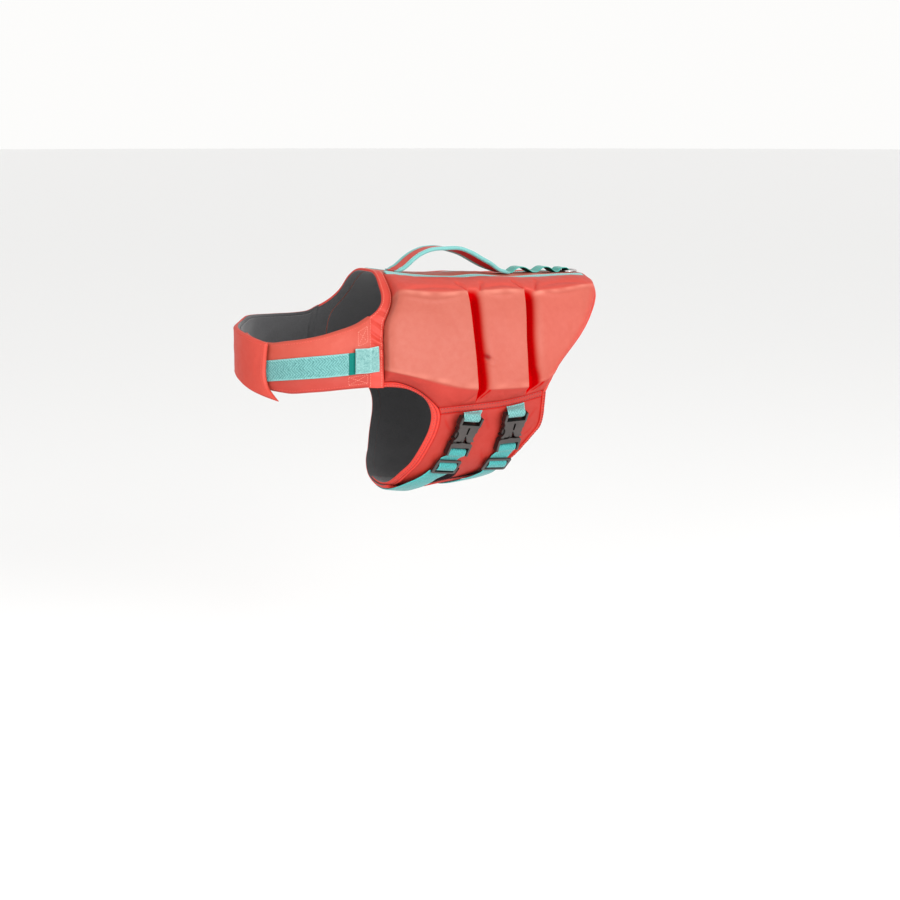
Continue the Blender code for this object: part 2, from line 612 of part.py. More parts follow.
def handle_point(x, z, y, out):
    """A point of the handle: flat on the back at its feet, level across in its arch."""
    lying = 1 - ease(0.5, 9.0, z)
    side = RIGHT if y >= 0 else LEFT
    curved = on(side, x, abs(y), 3.4 + LAY)
    middle = on(RIGHT, x, 0.001, 3.4 + LAY)
    base = np.array([x, y, (curved[2] if lying > 0 else 0) * lying + middle[2] * (1 - lying) + z])
    step = 1.5
    slope = (at(HANDLE, "x", "z", x + step) - at(HANDLE, "x", "z", x - step)) / (2 * step)
    slope += (figure(x + step, 0.001)[2] - figure(x - step, 0.001)[2]) / (2 * step)
    return base + out * np.array([-slope, 0, 1]) / hypot(slope, 1)


def handle_piece(name, ways, colour, low=0.0, high=HANDLE_THICK):
    xs = []
    for a, b in zip(HANDLE["x"][:-1], HANDLE["x"][1:]):
        xs += [a, (a + b) / 2]
    xs.append(HANDLE["x"][-1])
    rows = []
    for x in xs:
        z = max(at(HANDLE, "x", "z", x), 0.0)
        rows.append([(handle_point(x, z, y, high), handle_point(x, z, y, low)) for y in ways])
    return shell(name, rows, colour)


def lash_webbing():
    rows = []
    for x in LASH["x"]:
        z = max(at(LASH, "x", "z", x), 0.0)
        slope = (at(LASH, "x", "z", x + 1) - at(LASH, "x", "z", x - 1)) / 2
        n = np.array([-slope, 0, 1]) / hypot(slope, 1)
        row = []
        for y in (-LASH_HALF, 0, LASH_HALF):
            p = on(RIGHT if y >= 0 else LEFT, x, max(abs(y), 0.001), 3.4 + LAY) + np.array([0, 0, z])
            row.append((p + n * 1.5, p))
        rows.append(row)
    return shell("lash_webbing", rows, "aqua")


def d_ring():
    """A D-shaped ring of round wire that lies flat, its straight side in the last loop."""
    pivot = on(RIGHT, RING_X, 0.001, 3.4 + LAY + 0.3 + RING_WIRE)
    line = [(0, y) for y in np.linspace(-RING_HALF + 2.5, RING_HALF - 2.5, 6)]
    line += [(2.5 - 2.5 * cos(t), RING_HALF - 2.5 + 2.5 * sin(t)) for t in np.linspace(0.4, pi / 2, 4)]
    line += [(5.5, RING_HALF)]
    line += [(7 + (RING_DEEP - 7) * sin(t), RING_HALF * cos(t)) for t in np.linspace(0.12, pi - 0.12, 15)]
    line += [(5.5, -RING_HALF)]
    line += [(2.5 - 2.5 * cos(t), -RING_HALF + 2.5 - 2.5 * sin(t)) for t in np.linspace(pi / 2, 0.4, 4)]
    rows = []
    for k, (x, y) in enumerate(line):
        before, after = line[k - 1], line[(k + 1) % len(line)]
        turn = atan2(after[1] - before[1], after[0] - before[0])
        side = np.array([sin(turn), -cos(turn), 0])
        rows.append([np.array([x, y, 0]) + RING_WIRE * (cos(t) * side + sin(t) * np.array([0, 0, 1]))
                     for t in np.linspace(0, 2 * pi, 9)[:-1]])
    obj = ring_wall("d_ring", rows, "metal")
    obj.location = Vector(pivot * MM)
    return obj


# ---------------------------------------------------------------- straps, buckles and sliders

def strap_at(number, s, side=LEFT):
    return at(STRAPS[number] if side == LEFT else STRAPS_RIGHT[number], "s", "x", s)


def frame_of(middle, down, across):
    """A flat frame with X across the strap, Y down it and Z outwards, from its middle."""
    down = np.array(down) / np.linalg.norm(down)
    across = np.array(across) - down * down.dot(across)
    across /= -np.linalg.norm(across)
    m = Matrix.Identity(4)
    for row in range(3):
        m[row][0], m[row][1], m[row][2] = across[row], down[row], np.cross(across, down)[row]
        m[row][3] = middle[row] * MM
    return m


def prism(name, outline, low, high, colour=None, collection=None):
    """An outline of (x, y) points, from z low to high."""
    n = len(outline)
    verts = [(x, y, low) for x, y in outline] + [(x, y, high) for x, y in outline]
    faces = [tuple(range(n - 1, -1, -1)), tuple(range(n, 2 * n))]
    faces += [(i, (i + 1) % n, n + (i + 1) % n, n + i) for i in range(n)]
    return add(name, verts, faces, colour, collection)


def box_outline(x0, x1, y0, y1):
    return [(x0, y0), (x1, y0), (x1, y1), (x0, y1)]


def bevel(obj, width, segments=2):
    mod = obj.modifiers.new("rounded edges", "BEVEL")
    mod.width = width * MM
    mod.segments = segments
    mod.limit_method = "ANGLE"
    mod.angle_limit = radians(40)


def cut(obj, name, outline, low, high, place):
    """Cuts a prism out of obj."""
    tool = prism(name, outline, low, high, collection=CUTTERS)
    tool.matrix_world = place
    tool.display_type = "WIRE"
    tool.hide_render = True
    mod = obj.modifiers.new(name, "BOOLEAN")
    mod.operation = "DIFFERENCE"
    mod.solver = "EXACT"
    mod.object = tool


SOCKET = [(-16.4, -22.6), (16.4, -22.6), (16.4, -13.6), (14.6, -10.6), (14.6, -8.2), (15.8, -5.0), (16.4, 2.4),
          (14.8, 5.2), (4.6, 5.2), (0, -1.2), (-4.6, 5.2), (-14.8, 5.2), (-16.4, 2.4), (-15.8, -5.0),
          (-14.6, -8.2), (-14.6, -10.6), (-16.4, -13.6)]
PRONGS = [(-15.6, 12.0), (-15.6, 10.4), (-13.4, 7.2), (-12.4, 2.6), (-14.8, 0.6), (-14.8, -3.0), (-12.8, -6.0),
          (-10.4, -6.0), (-9.8, 3.0), (-8.2, 8.2), (-1.6, 8.6), (-1.6, 0.8), (1.6, 0.8), (1.6, 8.6), (8.2, 8.2),
          (9.8, 3.0), (10.4, -6.0), (12.8, -6.0), (14.8, -3.0), (14.8, 0.6), (12.4, 2.6), (13.4, 7.2),
          (15.6, 10.4), (15.6, 12.0)]
BASE = [(-16.0, 9.2), (-13.4, 7.6), (-6.5, 7.6), (0, 6.6), (6.5, 7.6), (13.4, 7.6), (16.0, 9.2), (16.0, 22.6),
        (-16.0, 22.6)]
HALF_THICK = 4.4     # half the thickness of a buckle


def drawn(points):
    """A buckle's outline at its real length."""
    return [(x, LONG * y) for x, y in points]


def slab(half, y0, y1):
    return drawn(box_outline(-half, half, y0, y1))


def join(obj, name, outline, low, high, place):
    """Joins a prism onto obj."""
    extra = prism(name, outline, low, high, collection=CUTTERS)
    extra.matrix_world = place
    extra.display_type = "WIRE"
    extra.hide_render = True
    mod = obj.modifiers.new(name, "BOOLEAN")
    mod.operation = "UNION"
    mod.solver = "EXACT"
    mod.object = extra


def buckle(number):
    place = frame_of(*BUCKLE[number])
    socket = prism(f"buckle_{number}_socket", drawn(SOCKET), -HALF_THICK, HALF_THICK, "grey")
    socket.matrix_world = place
    bevel(socket, 1.0)
    cut(socket, f"socket_{number}_slot", slab(13.2, -18.8, -14.4), -8, 8, place)
    cut(socket, f"socket_{number}_bar", slab(13.2, -26, -17), 0.2, 8, place)
    cut(socket, f"socket_{number}_hollow", slab(13.6, -9.4, 9), -2.4, 2.4, place)
    cut(socket, f"socket_{number}_slit", slab(1.3, -11.4, -3.6), -8, 8, place)
    for side in (-1, 1):
        window = drawn([(side * (17.8 - 6.2 * cos(t)), -1.6 + 6.2 * sin(t))
                        for t in np.linspace(-pi / 2, pi / 2, 9)])
        cut(socket, f"socket_{number}_window_{'left' if side < 0 else 'right'}", window, -8, 8, place)
    prongs = prism(f"buckle_{number}_prongs", drawn(PRONGS), -2.0, 2.0, "grey")
    prongs.matrix_world = place
    join(prongs, f"prongs_{number}_base", drawn(BASE), -3.8, 3.8, place)
    cut(prongs, f"prongs_{number}_slot", slab(13.2, 12.8, 18.8), -8, 8, place)
    cut(prongs, f"prongs_{number}_bar", slab(13.2, 17, 26), 0.4, 8, place)


def slider(number):
    place = frame_of(*SLIDER[number])
    corner = 3.0
    outline = []
    for cx, cy, start in ((14.5, 8.5, 0), (-14.5, 8.5, 90), (-14.5, -8.5, 180), (14.5, -8.5, 270)):
        outline += [(cx + corner * cos(radians(start + k * 30)), cy + corner * sin(radians(start + k * 30)))
                    for k in range(4)]
    plate = prism(f"slider_{number}", outline, -1.3, 1.3, "grey")
    plate.matrix_world = place
    bevel(plate, 0.5, 1)
    cut(plate, f"slider_{number}_upper", box_outline(-13.4, 13.4, -8.4, -1.6), -8, 8, place)
    cut(plate, f"slider_{number}_lower", box_outline(-13.4, 13.4, 1.6, 8.4), -8, 8, place)


def spot(place, x, y, z):
    """A point of a flat frame, in millimetres."""
    p = place @ Vector((x * MM, y * MM, z * MM))
    return np.array(p) / MM


def drawn_path(path):
    """A path of (y, z) points through a buckle, at its real length."""
    return [(LONG * y, z) for y, z in path]


def held(place, path, half=WIDE / 2):
    """Rows of webbing through a buckle or slider, from (y, z) points of its underside in that frame."""
    rows = []
    for k, (y, z) in enumerate(path):
        a, b = path[max(k - 1, 0)], path[min(k + 1, len(path) - 1)]
        dy, dz = b[0] - a[0], b[1] - a[1]
        length = hypot(dy, dz)
        rows.append([(spot(place, x, y - dz / length * WEB, z + dy / length * WEB), spot(place, x, y, z))
                     for x in (half, 0, -half)])
    return rows


def laid(line, half=WIDE / 2):
    """Rows of webbing on the figure, from (side, x, s, lift) points; they turn round the belly's middle."""
    rows = []
    for k, (side, x, s, lift) in enumerate(line):
        (_, xa, sa, _), (_, xb, sb, _) = line[max(k - 1, 0)], line[min(k + 1, len(line) - 1)]
        va, vb = (sa, sb)
        if line[max(k - 1, 0)][0] != line[min(k + 1, len(line) - 1)][0]:
            vb = 2 * girth(x) - sb
        elif side == RIGHT:
            va, vb = -sa, -sb
        dx, ds = xb - xa, vb - va
        length = hypot(dx, ds)
        across = np.array([ds / length, -dx / length * (1 if side == LEFT else -1)])
        follow = ease(300, girth(x) - 20, s)
        row = []
        for t in (-1, 0, 1):
            px = x + across[0] * half * t
            ps = s + across[1] * half * t + follow * (girth(px) - girth(x))
            row.append((on(side, px, ps, lift + WEB), on(side, px, ps, lift)))
        rows.append(row)
    return rows


def buckle_tab(number):
    """Webbing from the seam over the socket's bar and down into its slot."""
    seam = low_edge(strap_at(number, 205)) + 6.5
    low = FLAP + LAY
    line = [(LEFT, strap_at(number, s), s, h) for s, h in ((seam, low), (seam + 1.5, low + 1.0))]
    rows = laid(line) + held(frame_of(*BUCKLE[number]), drawn_path([
        (-24.2, -1.4), (-22.4, 0.7), (-19.4, 0.8), (-17.9, -0.6), (-17.7, -3.0)]))
    return shell(f"buckle_tab_{number}", rows, "aqua")


def belly_strap(number):
    """From the prong half's bar through the slider, under the belly to the right side's seam."""
    mid = SLIDER_S[number]
    rows = held(frame_of(*BUCKLE[number]), drawn_path([(17.2, -1.6), (17.4, 0.6), (18.6, 1.1), (22.4, 1.1),
                                                       (24.0, -0.6)]))
    rows += held(frame_of(*SLIDER[number]), [(-12.0, -3.6), (-8.6, -3.6), (-5.6, -2.0), (-3.2, 1.2),
                                             (0, 1.7), (3.2, 1.2), (5.6, -2.0), (8.6, -3.6), (12.0, -3.3)])
    middle = strap_at(number, 346)
    over, flat = RISE + FLAP + (1.4 if number == 1 else 0.9), FLAP + 1.5
    full = girth(middle)
    line = []
    for s in (mid + 15, mid + 18, *np.linspace(mid + 22, full - OVER - 12, 5)):
        climb = ease(full - OVER - 34, full - OVER - 16, s)
        line.append((LEFT, strap_at(number, s), s, flat + 0.6 + (over - flat - 0.6) * climb))
    for s in np.linspace(full - OVER - 4, full - 3, 4):
        line.append((LEFT, strap_at(number, s), s, over))
    for s in np.linspace(full - 10, full - UNDER - 14, 7):
        lift = flat + (over - flat) * ease(full - UNDER - 12, full - OVER - 4, s)
        line.append((RIGHT, strap_at(number, s, RIGHT), s, lift))
    seam = low_edge(strap_at(number, 200, RIGHT)) + 6.5
    for s in np.linspace(full - UNDER - 26, seam, 8):
        line.append((RIGHT, strap_at(number, s, RIGHT), s, FLAP + LAY + 0.6))
    return shell(f"belly_strap_{number}", rows + laid(line), "aqua")


def loop_patch():
    rows = []
    for s in np.linspace(290, 320, 5):
        row = []
        for x in np.linspace(-103, -58, 5):
            row.append((on(LEFT, x, s, FLAP + LAY + 0.6), on(LEFT, x, s, FLAP + LAY - 0.1)))
        rows.append(row)
    return shell("loop_patch", rows, "loop")


# ---------------------------------------------------------------- build

for label, hand in (("left", LEFT), ("right", RIGHT)):
    side_panel(f"side_panel_{label}", hand)
    spine_tape(f"spine_tape_{label}", hand)
    belly_flap(f"belly_flap_{label}", hand)
    arm_band(f"arm_band_{label}", hand)
    hem_band(f"hem_band_{label}", hand)
spine_panel()
neck_band()
rear_binding()
collar_left()
collar_right()
collar_lining()
collar_web("collar_webbing", 15.4, 67, LAY, WEB, "aqua", 15)
collar_fold()
collar_end_tab()
inner = HANDLE_HALF - HANDLE_TAPE
handle_piece("handle", [-inner + SEAM / 2, 0, inner - SEAM / 2], "coral")
handle_piece("handle_tape_left", [-HANDLE_HALF, -inner - SEAM / 2], "aqua", high=HANDLE_THICK + 0.3)
handle_piece("handle_tape_right", [inner + SEAM / 2, HANDLE_HALF], "aqua", high=HANDLE_THICK + 0.3)
lash_webbing()
d_ring()
for count in (1, 2):
    buckle(count)
    slider(count)
    buckle_tab(count)
    belly_strap(count)
loop_patch()
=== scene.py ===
"""Looks of the dog life jacket: foam pads, cloth, webbing, stitches, buckles, ring and the studio."""

import json
from math import cos, hypot, pi, radians, sin

import bmesh
import bpy
import numpy as np
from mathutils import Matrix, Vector

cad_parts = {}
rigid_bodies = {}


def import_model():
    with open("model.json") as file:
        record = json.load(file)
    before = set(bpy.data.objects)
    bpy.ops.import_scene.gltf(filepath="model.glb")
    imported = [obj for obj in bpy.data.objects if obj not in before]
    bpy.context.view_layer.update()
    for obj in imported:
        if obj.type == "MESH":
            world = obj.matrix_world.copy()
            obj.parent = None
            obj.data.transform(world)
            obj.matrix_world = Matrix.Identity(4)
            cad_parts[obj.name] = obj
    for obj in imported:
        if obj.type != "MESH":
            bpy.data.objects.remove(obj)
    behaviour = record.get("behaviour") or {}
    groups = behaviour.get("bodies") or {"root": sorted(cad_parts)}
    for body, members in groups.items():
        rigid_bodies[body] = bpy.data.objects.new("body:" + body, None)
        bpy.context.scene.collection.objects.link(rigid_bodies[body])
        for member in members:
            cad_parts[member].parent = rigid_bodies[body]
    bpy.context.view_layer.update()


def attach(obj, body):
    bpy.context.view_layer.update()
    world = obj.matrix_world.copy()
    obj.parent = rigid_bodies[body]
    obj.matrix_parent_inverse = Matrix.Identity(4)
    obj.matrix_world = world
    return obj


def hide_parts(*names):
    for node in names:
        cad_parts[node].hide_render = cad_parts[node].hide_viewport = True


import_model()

# Lengths are in millimetres until a mesh is written. x runs towards the tail, and s is the way round
# the body from the middle of the back, on the left side (-Y) or the right one.
MM = 0.001
LEFT, RIGHT = -1, 1
SEAM = 0.08          # gap at a seam
LAY = 0.45           # gap below what lies on a panel
SETTLE = 26          # rounds in which a place between crossing lines settles
EDGE = 3.2           # thickness of a panel at its seams
COLLAR = 7.0         # thickness of the collar
FLAP = 2.4           # thickness of a belly flap
WEB = 1.6            # thickness of the webbing
WIDE = 25.0          # width of the webbing


# ---------------------------------------------------------------- curves through short tables

def table(names, rows):
    """A table with named columns."""
    return dict(zip(names.split(), np.array(rows, float).T))


def smooth(keys, values, k):
    """A smooth curve through the values at every k, straight beyond its ends."""
    keys, values, k = np.asarray(keys, float), np.asarray(values, float), np.asarray(k, float)
    n = len(keys)
    before, after = np.maximum(np.arange(n) - 1, 0), np.minimum(np.arange(n) + 1, n - 1)
    slope = (values[after] - values[before]) / (keys[after] - keys[before])
    i = np.clip(np.searchsorted(keys, k) - 1, 0, n - 2)
    gap = keys[i + 1] - keys[i]
    t = (k - keys[i]) / gap
    inside = ((2 * t**3 - 3 * t**2 + 1) * values[i] + (t**3 - 2 * t**2 + t) * slope[i] * gap
              + (3 * t**2 - 2 * t**3) * values[i + 1] + (t**3 - t**2) * slope[i + 1] * gap)
    low = values[0] + slope[0] * (k - keys[0])
    high = values[-1] + slope[-1] * (k - keys[-1])
    return np.where(k < keys[0], low, np.where(k > keys[-1], high, inside))


def at(tab, key, value, k):
    """One column of a table over another."""
    return smooth(tab[key], tab[value], k)


class Curve:
    """A smooth curve through rows of a key and its value."""

    def __init__(self, rows):
        self.keys, self.values = np.array(rows, float).T

    def __call__(self, k):
        return smooth(self.keys, self.values, k)

    def held(self, k):
        """The curve's values, level beyond its ends."""
        return self(np.clip(k, self.keys[0], self.keys[-1]))


def ease(a, b, k):
    """0 below a, 1 above b and a soft step between."""
    t = np.clip((np.asarray(k, float) - a) / (b - a), 0.0, 1.0)
    return t * t * (3 - 2 * t)


def bump(away, wide, power=2):
    """1 in the middle, and near 0 at twice its half width away."""
    return np.exp(-(away / wide) ** power)


def within(t, rim):
    """0 at both ends of t (0 and 1), and 1 from a rim inside them."""
    return ease(0, rim, t) * ease(0, rim, 1 - t)


def stacked(*parts):
    """Points or pairs from arrays of their single values."""
    return np.stack(parts, -1)


def unit(v):
    return v / np.maximum(np.linalg.norm(v, axis=-1, keepdims=True), 1e-9)


def run_of(points):
    """The way along a line of points, up to each of them."""
    return np.concatenate([[0], np.cumsum(np.linalg.norm(np.diff(points, axis=0), axis=1))])


def between_points(run, values, where):
    """Values given at the points of a line, at other places along it."""
    return np.stack([np.interp(where, run, column) for column in values.T], -1)


# ---------------------------------------------------------------- the figure that the cloth follows

# Heights of the middles of back and belly, and half the width
FIGURE = table("x back belly half", [
    (-215, 14.7, -231.3, 76), (-160, 11.7, -243.3, 83), (-110, 8.7, -252.3, 86), (-60, 6.2, -248.8, 87),
    (-10, 4.8, -244.3, 86), (40, 2.7, -231.3, 83), (90, 0.7, -211.3, 79), (145, -1.3, -190.3, 73)])
# How far the figure stands out (or sinks) beside the middle of the back and at it, over x
SAG = Curve([
    (-215, 2), (-155, 2), (-110, -1.8), (-58, -4), (-25, -2.2), (20, -5), (60, -3.2), (100, -1.5), (150, 0)])
SAG_AT, SAG_WIDTH = 30.0, 18.0
FLAT = Curve([
    (-215, -0.5), (-160, -0.7), (-142, -2.2), (-115, -3.8), (-60, -3.3), (-30, -2.6), (0, -4.2), (20, -5.0),
    (50, -4.4), (90, -4.3), (145, -4.6)])
FLAT_WIDTH = 17.0
WIDEST = 0.42                    # how far down the figure is widest, as a share of its height
ROUND_UP, ROUND_DOWN = 2.1, 2.2  # how square its sections are above and below that

STEP_X, STEP_S = 2.0, 1.0
XS = np.arange(-262.0, 172.0, STEP_X)
SS = np.arange(-24.0, 412.0, STEP_S)


def sections():
    """Half widths and heights of the figure over XS and SS, and its girth at each of XS."""
    turn = np.linspace(-0.7, pi + 1.1, 1500)      # a little past the middles of back and belly
    c, s = np.cos(turn), np.sin(turn)
    power = 2 / np.where(c > 0, ROUND_UP, ROUND_DOWN)
    wide, high, round_to_belly = [], [], []
    for x in XS:
        back, belly, half = (at(FIGURE, "x", name, x) for name in ("back", "belly", "half"))
        tall = back - belly
        y = half * np.sign(s) * np.abs(s) ** power
        z = back - WIDEST * tall + np.where(c > 0, WIDEST, 1 - WIDEST) * tall * np.sign(c) * np.abs(c) ** power
        run = np.concatenate([[0], np.cumsum(np.hypot(np.diff(y), np.diff(z)))])
        run -= np.interp(0, turn, run)
        wide.append(np.interp(SS, run, y))
        high.append(np.interp(SS, run, z))
        round_to_belly.append(np.interp(pi, turn, run))
    return np.array(wide), np.array(high), np.array(round_to_belly)


WIDTHS, HEIGHTS, GIRTHS = sections()


def weights(t):
    """The shares of four neighbours in a smooth curve at t between the middle two."""
    return (-0.5 * t + t**2 - 0.5 * t**3, 1 - 2.5 * t**2 + 1.5 * t**3,
            0.5 * t + 2 * t**2 - 1.5 * t**3, -0.5 * t**2 + 0.5 * t**3)


def figure(side, x, s):
    """Points of the figure at arrays of x and s."""
    x, s = np.broadcast_arrays(np.asarray(x, float), np.asarray(s, float))
    i, j = (x - XS[0]) / STEP_X, (s - SS[0]) / STEP_S
    i0 = np.clip(i.astype(int), 1, len(XS) - 3)
    j0 = np.clip(j.astype(int), 1, len(SS) - 3)
    wx, ws = weights(i - i0), weights(j - j0)
    y, z = (sum(wx[m] * ws[n] * grid[i0 - 1 + m, j0 - 1 + n] for m in range(4) for n in range(4))
            for grid in (WIDTHS, HEIGHTS))
    z = z + SAG(x) * bump(s - SAG_AT, SAG_WIDTH)
    z = z + FLAT(x) * bump(s, FLAT_WIDTH)
    return stacked(x, side * y, z)


def girth(x):
    """s of the middle of the belly."""
    return np.interp(x, XS, GIRTHS)


def outward(side, x, s, step=1.5):
    """The ways out of the figure at x and s."""
    along = figure(side, x + step, s) - figure(side, x - step, s)
    around = figure(side, x, s + step) - figure(side, x, s - step)
    return unit(np.cross(along, around) * np.asarray(side, float)[..., None])


def on(side, x, s, lift):
    """The points at x and s on one side, lifted off the figure."""
    x, s, lift = np.broadcast_arrays(np.asarray(x, float), np.asarray(s, float), np.asarray(lift, float))
    return figure(side, x, s) + lift[..., None] * outward(side, x, s)


# ---------------------------------------------------------------- small unevenness of cloth

def ripple(x, s, size, seed, count=7):
    """Soft unevenness between about -1 and 1, in waves about size long."""
    rng = np.random.default_rng(seed)
    total = np.zeros(np.broadcast(x, s).shape)
    for _ in range(count):
        turn, phase = rng.uniform(0, pi), rng.uniform(0, 2 * pi)
        length = size * rng.uniform(0.6, 1.6)
        total = total + np.sin(2 * pi * (x * np.cos(turn) + s * np.sin(turn)) / length + phase)
    return total / count**0.5


def crease(x, s, folds):
    """Soft troughs (minus) and ridges (plus): each runs from (x0, s0) to (x1, s1), wide and high."""
    total = np.zeros(np.broadcast(x, s).shape)
    for x0, s0, x1, s1, wide, high in folds:
        dx, ds = x1 - x0, s1 - s0
        length = hypot(dx, ds)
        along = ((x - x0) * dx + (s - s0) * ds) / length
        across = ((s - s0) * dx - (x - x0) * ds) / length
        bend = 0.06 * length * np.sin(np.clip(along / length, 0, 1) * pi) * (1 if high > 0 else -1)
        ends = ease(-0.15 * length, 0.3 * length, along) * (1 - ease(0.7 * length, 1.15 * length, along))
        total = total + high * ends * bump(across - bend, wide)
    return total


# ---------------------------------------------------------------- meshes

def mesh_of(work, name):
    """The mesh of a finished bmesh, with its faces outwards."""
    bmesh.ops.recalc_face_normals(work, faces=work.faces)
    mesh = bpy.data.meshes.new(name)
    work.to_mesh(mesh)
    work.free()
    return mesh


def read(data, key, width=1, kind=np.float32):
    """One property of all of a mesh's parts."""
    values = np.empty(len(data) * width, kind)
    data.foreach_get(key, values)
    return values.reshape(-1, width) if width > 1 else values


def finish_mesh(mesh, points, uv, mats, sharp=50):
    """Puts a mesh's points in place, turns it outwards, and gives it its cloth coordinates and materials."""
    mesh.vertices.foreach_set("co", (points * MM).astype(np.float32).ravel())
    mesh.update()
    mesh.calc_loop_triangles()
    a, b, c = (points[corner] for corner in read(mesh.loop_triangles, "vertices", 3, np.int32).T)
    if np.einsum("ij,ij->i", a, np.cross(b, c)).sum() < 0:
        mesh.flip_normals()
    corners = read(mesh.loops, "vertex_index", kind=np.int32)
    layer = mesh.uv_layers.new(name="cloth")
    layer.data.foreach_set("uv", (uv[corners] * MM).astype(np.float32).ravel())
    for mat in mats:
        mesh.materials.append(mat)
    mesh.shade_smooth()
    mesh.set_sharp_from_angle(angle=radians(sharp))


def show(name, mesh, body="jacket"):
    """The mesh as an object that moves with a body."""
    obj = bpy.data.objects.new(name, mesh)
    bpy.context.scene.collection.objects.link(obj)
    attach(obj, body)
    return obj


SKIN = {}            # each wall's surface, for what is sewn on it


def wall(name, us, vs, surface, mats, values=None, sharp=50):
    """A closed wall over a grid of us by vs.

    surface(u, v, out) gives the points and cloth coordinates of its outer or inner side, and values are painted
    on the outer one.
    """
    work = bmesh.new()
    nu, nv = len(us) - 1, len(vs) - 1
    bmesh.ops.create_grid(work, x_segments=nu, y_segments=nv, size=0.5)
    copied = bmesh.ops.extrude_face_region(work, geom=work.faces[:], use_keep_orig=True)
    copies = [g for g in copied["geom"] if isinstance(g, bmesh.types.BMVert)]
    bmesh.ops.translate(work, verts=copies, vec=(0, 0, 1))
    mesh = mesh_of(work, name)
    grid = read(mesh.vertices, "co", 3)
    u = np.asarray(us)[np.rint((grid[:, 0] + 0.5) * nu).astype(int)]
    v = np.asarray(vs)[np.rint((grid[:, 1] + 0.5) * nv).astype(int)]
    inside = grid[:, 2] > 0.5
    points, uv = np.empty((len(u), 3)), np.empty((len(u), 2))
    for here, out in ((~inside, True), (inside, False)):
        points[here], uv[here] = surface(u[here], v[here], out)
    finish_mesh(mesh, points, uv, mats, sharp)
    SKIN[name] = surface
    if len(mats) > 1:
        inner_corners = inside[read(mesh.loops, "vertex_index", kind=np.int32)].astype(int)
        counts = np.add.reduceat(inner_corners, read(mesh.polygons, "loop_start", kind=np.int32))
        mesh.polygons.foreach_set("material_index", (counts >= 4).astype(np.int32))
    for key, value in (values or {}).items():
        layer = mesh.attributes.new(key, "FLOAT", "POINT")
        field = np.zeros(len(u), np.float32)
        field[~inside] = value(u[~inside], v[~inside])
        layer.data.foreach_set("value", field)
    return show(name, mesh)


def spread(n, ends=0.6):
    """n steps from 0 to 1, closer together near both ends."""
    t = np.linspace(0, 1, n + 1)
    return (1 - ends) * t + ends * (0.5 - 0.5 * np.cos(pi * t))


def stretches(*parts):
    """Grid lines over stretches one long: each has its number of steps and how far they crowd at its ends."""
    return np.concatenate([k + spread(*part)[(k > 0):] for k, part in enumerate(parts)])


def ribbon(name, rows, up, thick, mats, steps, across=18, roundness=14):
    """Webbing from rows of underside points (one edge, middle, other edge); up gives its outer side."""
    rows, up = np.asarray(rows, float), np.asarray(up, float)
    run = run_of(rows[:, 1])
    half = np.linalg.norm(rows[:, 2] - rows[:, 0], axis=1).mean() / 2
    step = 0.02

    def under(t, w):
        a, m, b = (stacked(*(smooth(run, rows[:, k, i], t) for i in range(3))) for k in range(3))
        w = w[:, None]
        return a * w * (w - 1) / 2 + m * (1 - w * w) + b * w * (w + 1) / 2

    def surface(u, v, out):
        t, w = u * run[-1], 2 * v - 1
        n = unit(np.cross(under(t + step * half, w) - under(t - step * half, w),
                          under(t, w + step) - under(t, w - step)))
        n = n * np.sign(np.einsum("ij,ij->i", n, between_points(run, up, t)))[:, None]
        full = np.sqrt(np.maximum(1 - np.abs(w) ** roundness, 0.05))
        lift = thick * (0.5 + (0.5 if out else -0.5) * full)
        return under(t, w) + n * lift[:, None], stacked(t, w * half)
    return wall(name, np.linspace(0, 1, steps + 1), spread(across, 0.75), surface, mats)


# ---------------------------------------------------------------- side panels

# The side panel's front and rear edges and the sides of its two grooves are x over s. Its creases and the
# two stretches of its lower seam are s over x.
FRONT = Curve([
    (29, -149.2), (48, -150.8), (64, -152.4), (76, -156.5), (86.2, -162.4), (97.8, -170.2), (112, -174.2),
    (128.9, -175.4), (150, -175.5), (167, -175.4)])
REAR = Curve([
    (29, 131.5), (39.2, 132.3), (50.7, 131.8), (67.7, 126.2), (93.5, 109.8), (114.2, 93.5), (148, 62.8),
    (168.5, 49.8), (183, 42.5)])
GROOVE_1L = Curve([(29, -59), (72, -60.6), (115, -63.7), (150, -62), (177, -59.5), (200, -57.2)])
GROOVE_1R = Curve([(29, -45), (72, -47.2), (119, -52.1), (150, -50), (177, -47.2), (200, -54.5)])
GROOVE_2L = Curve([(29, 19), (70, 17.3), (119, 8.1), (150, 8.0), (178, 10.7), (200, 15.5)])
GROOVE_2R = Curve([(29, 33), (72, 28.3), (119, 18.8), (150, 20.5), (173, 26.5), (200, 18.5)])
CREASE = Curve([
    (-176, 68), (-157, 68), (-98, 72.3), (-54, 71.2), (17, 70.1), (28, 72), (80, 67), (113, 61), (136, 55)])
LOW_CREASE = Curve([(-178, 150), (-124, 163.8), (-64, 176), (11, 176), (30, 170), (60, 158)])
ARM_SEAM = Curve([(-175.3, 165.7), (-159.4, 166.9), (-136.8, 175.0), (-119.8, 186.2), (-104.5, 200.4)])
LOW_SEAM = Curve([(-104.5, 200.4), (-55.2, 197.9), (-7.9, 194.2), (43.0, 183.2)])
TOP_SEAM = 29.4
# Height of the side panel over its lines, from the top seam (0) to the low one (3)
DOWN = Curve([
    (0, 3.2), (0.05, 4.4), (0.12, 6.8), (0.3, 11.2), (0.6, 16.2), (0.88, 20.0), (0.97, 20.9), (1.0, 20.8),
    (1.04, 20.2), (1.2, 19.0), (1.5, 18.5), (1.8, 18.7), (1.94, 18.9), (2.0, 18.4), (2.08, 17.3), (2.45, 12.8),
    (2.8, 7.6), (2.94, 4.8), (3.0, 3.2)])
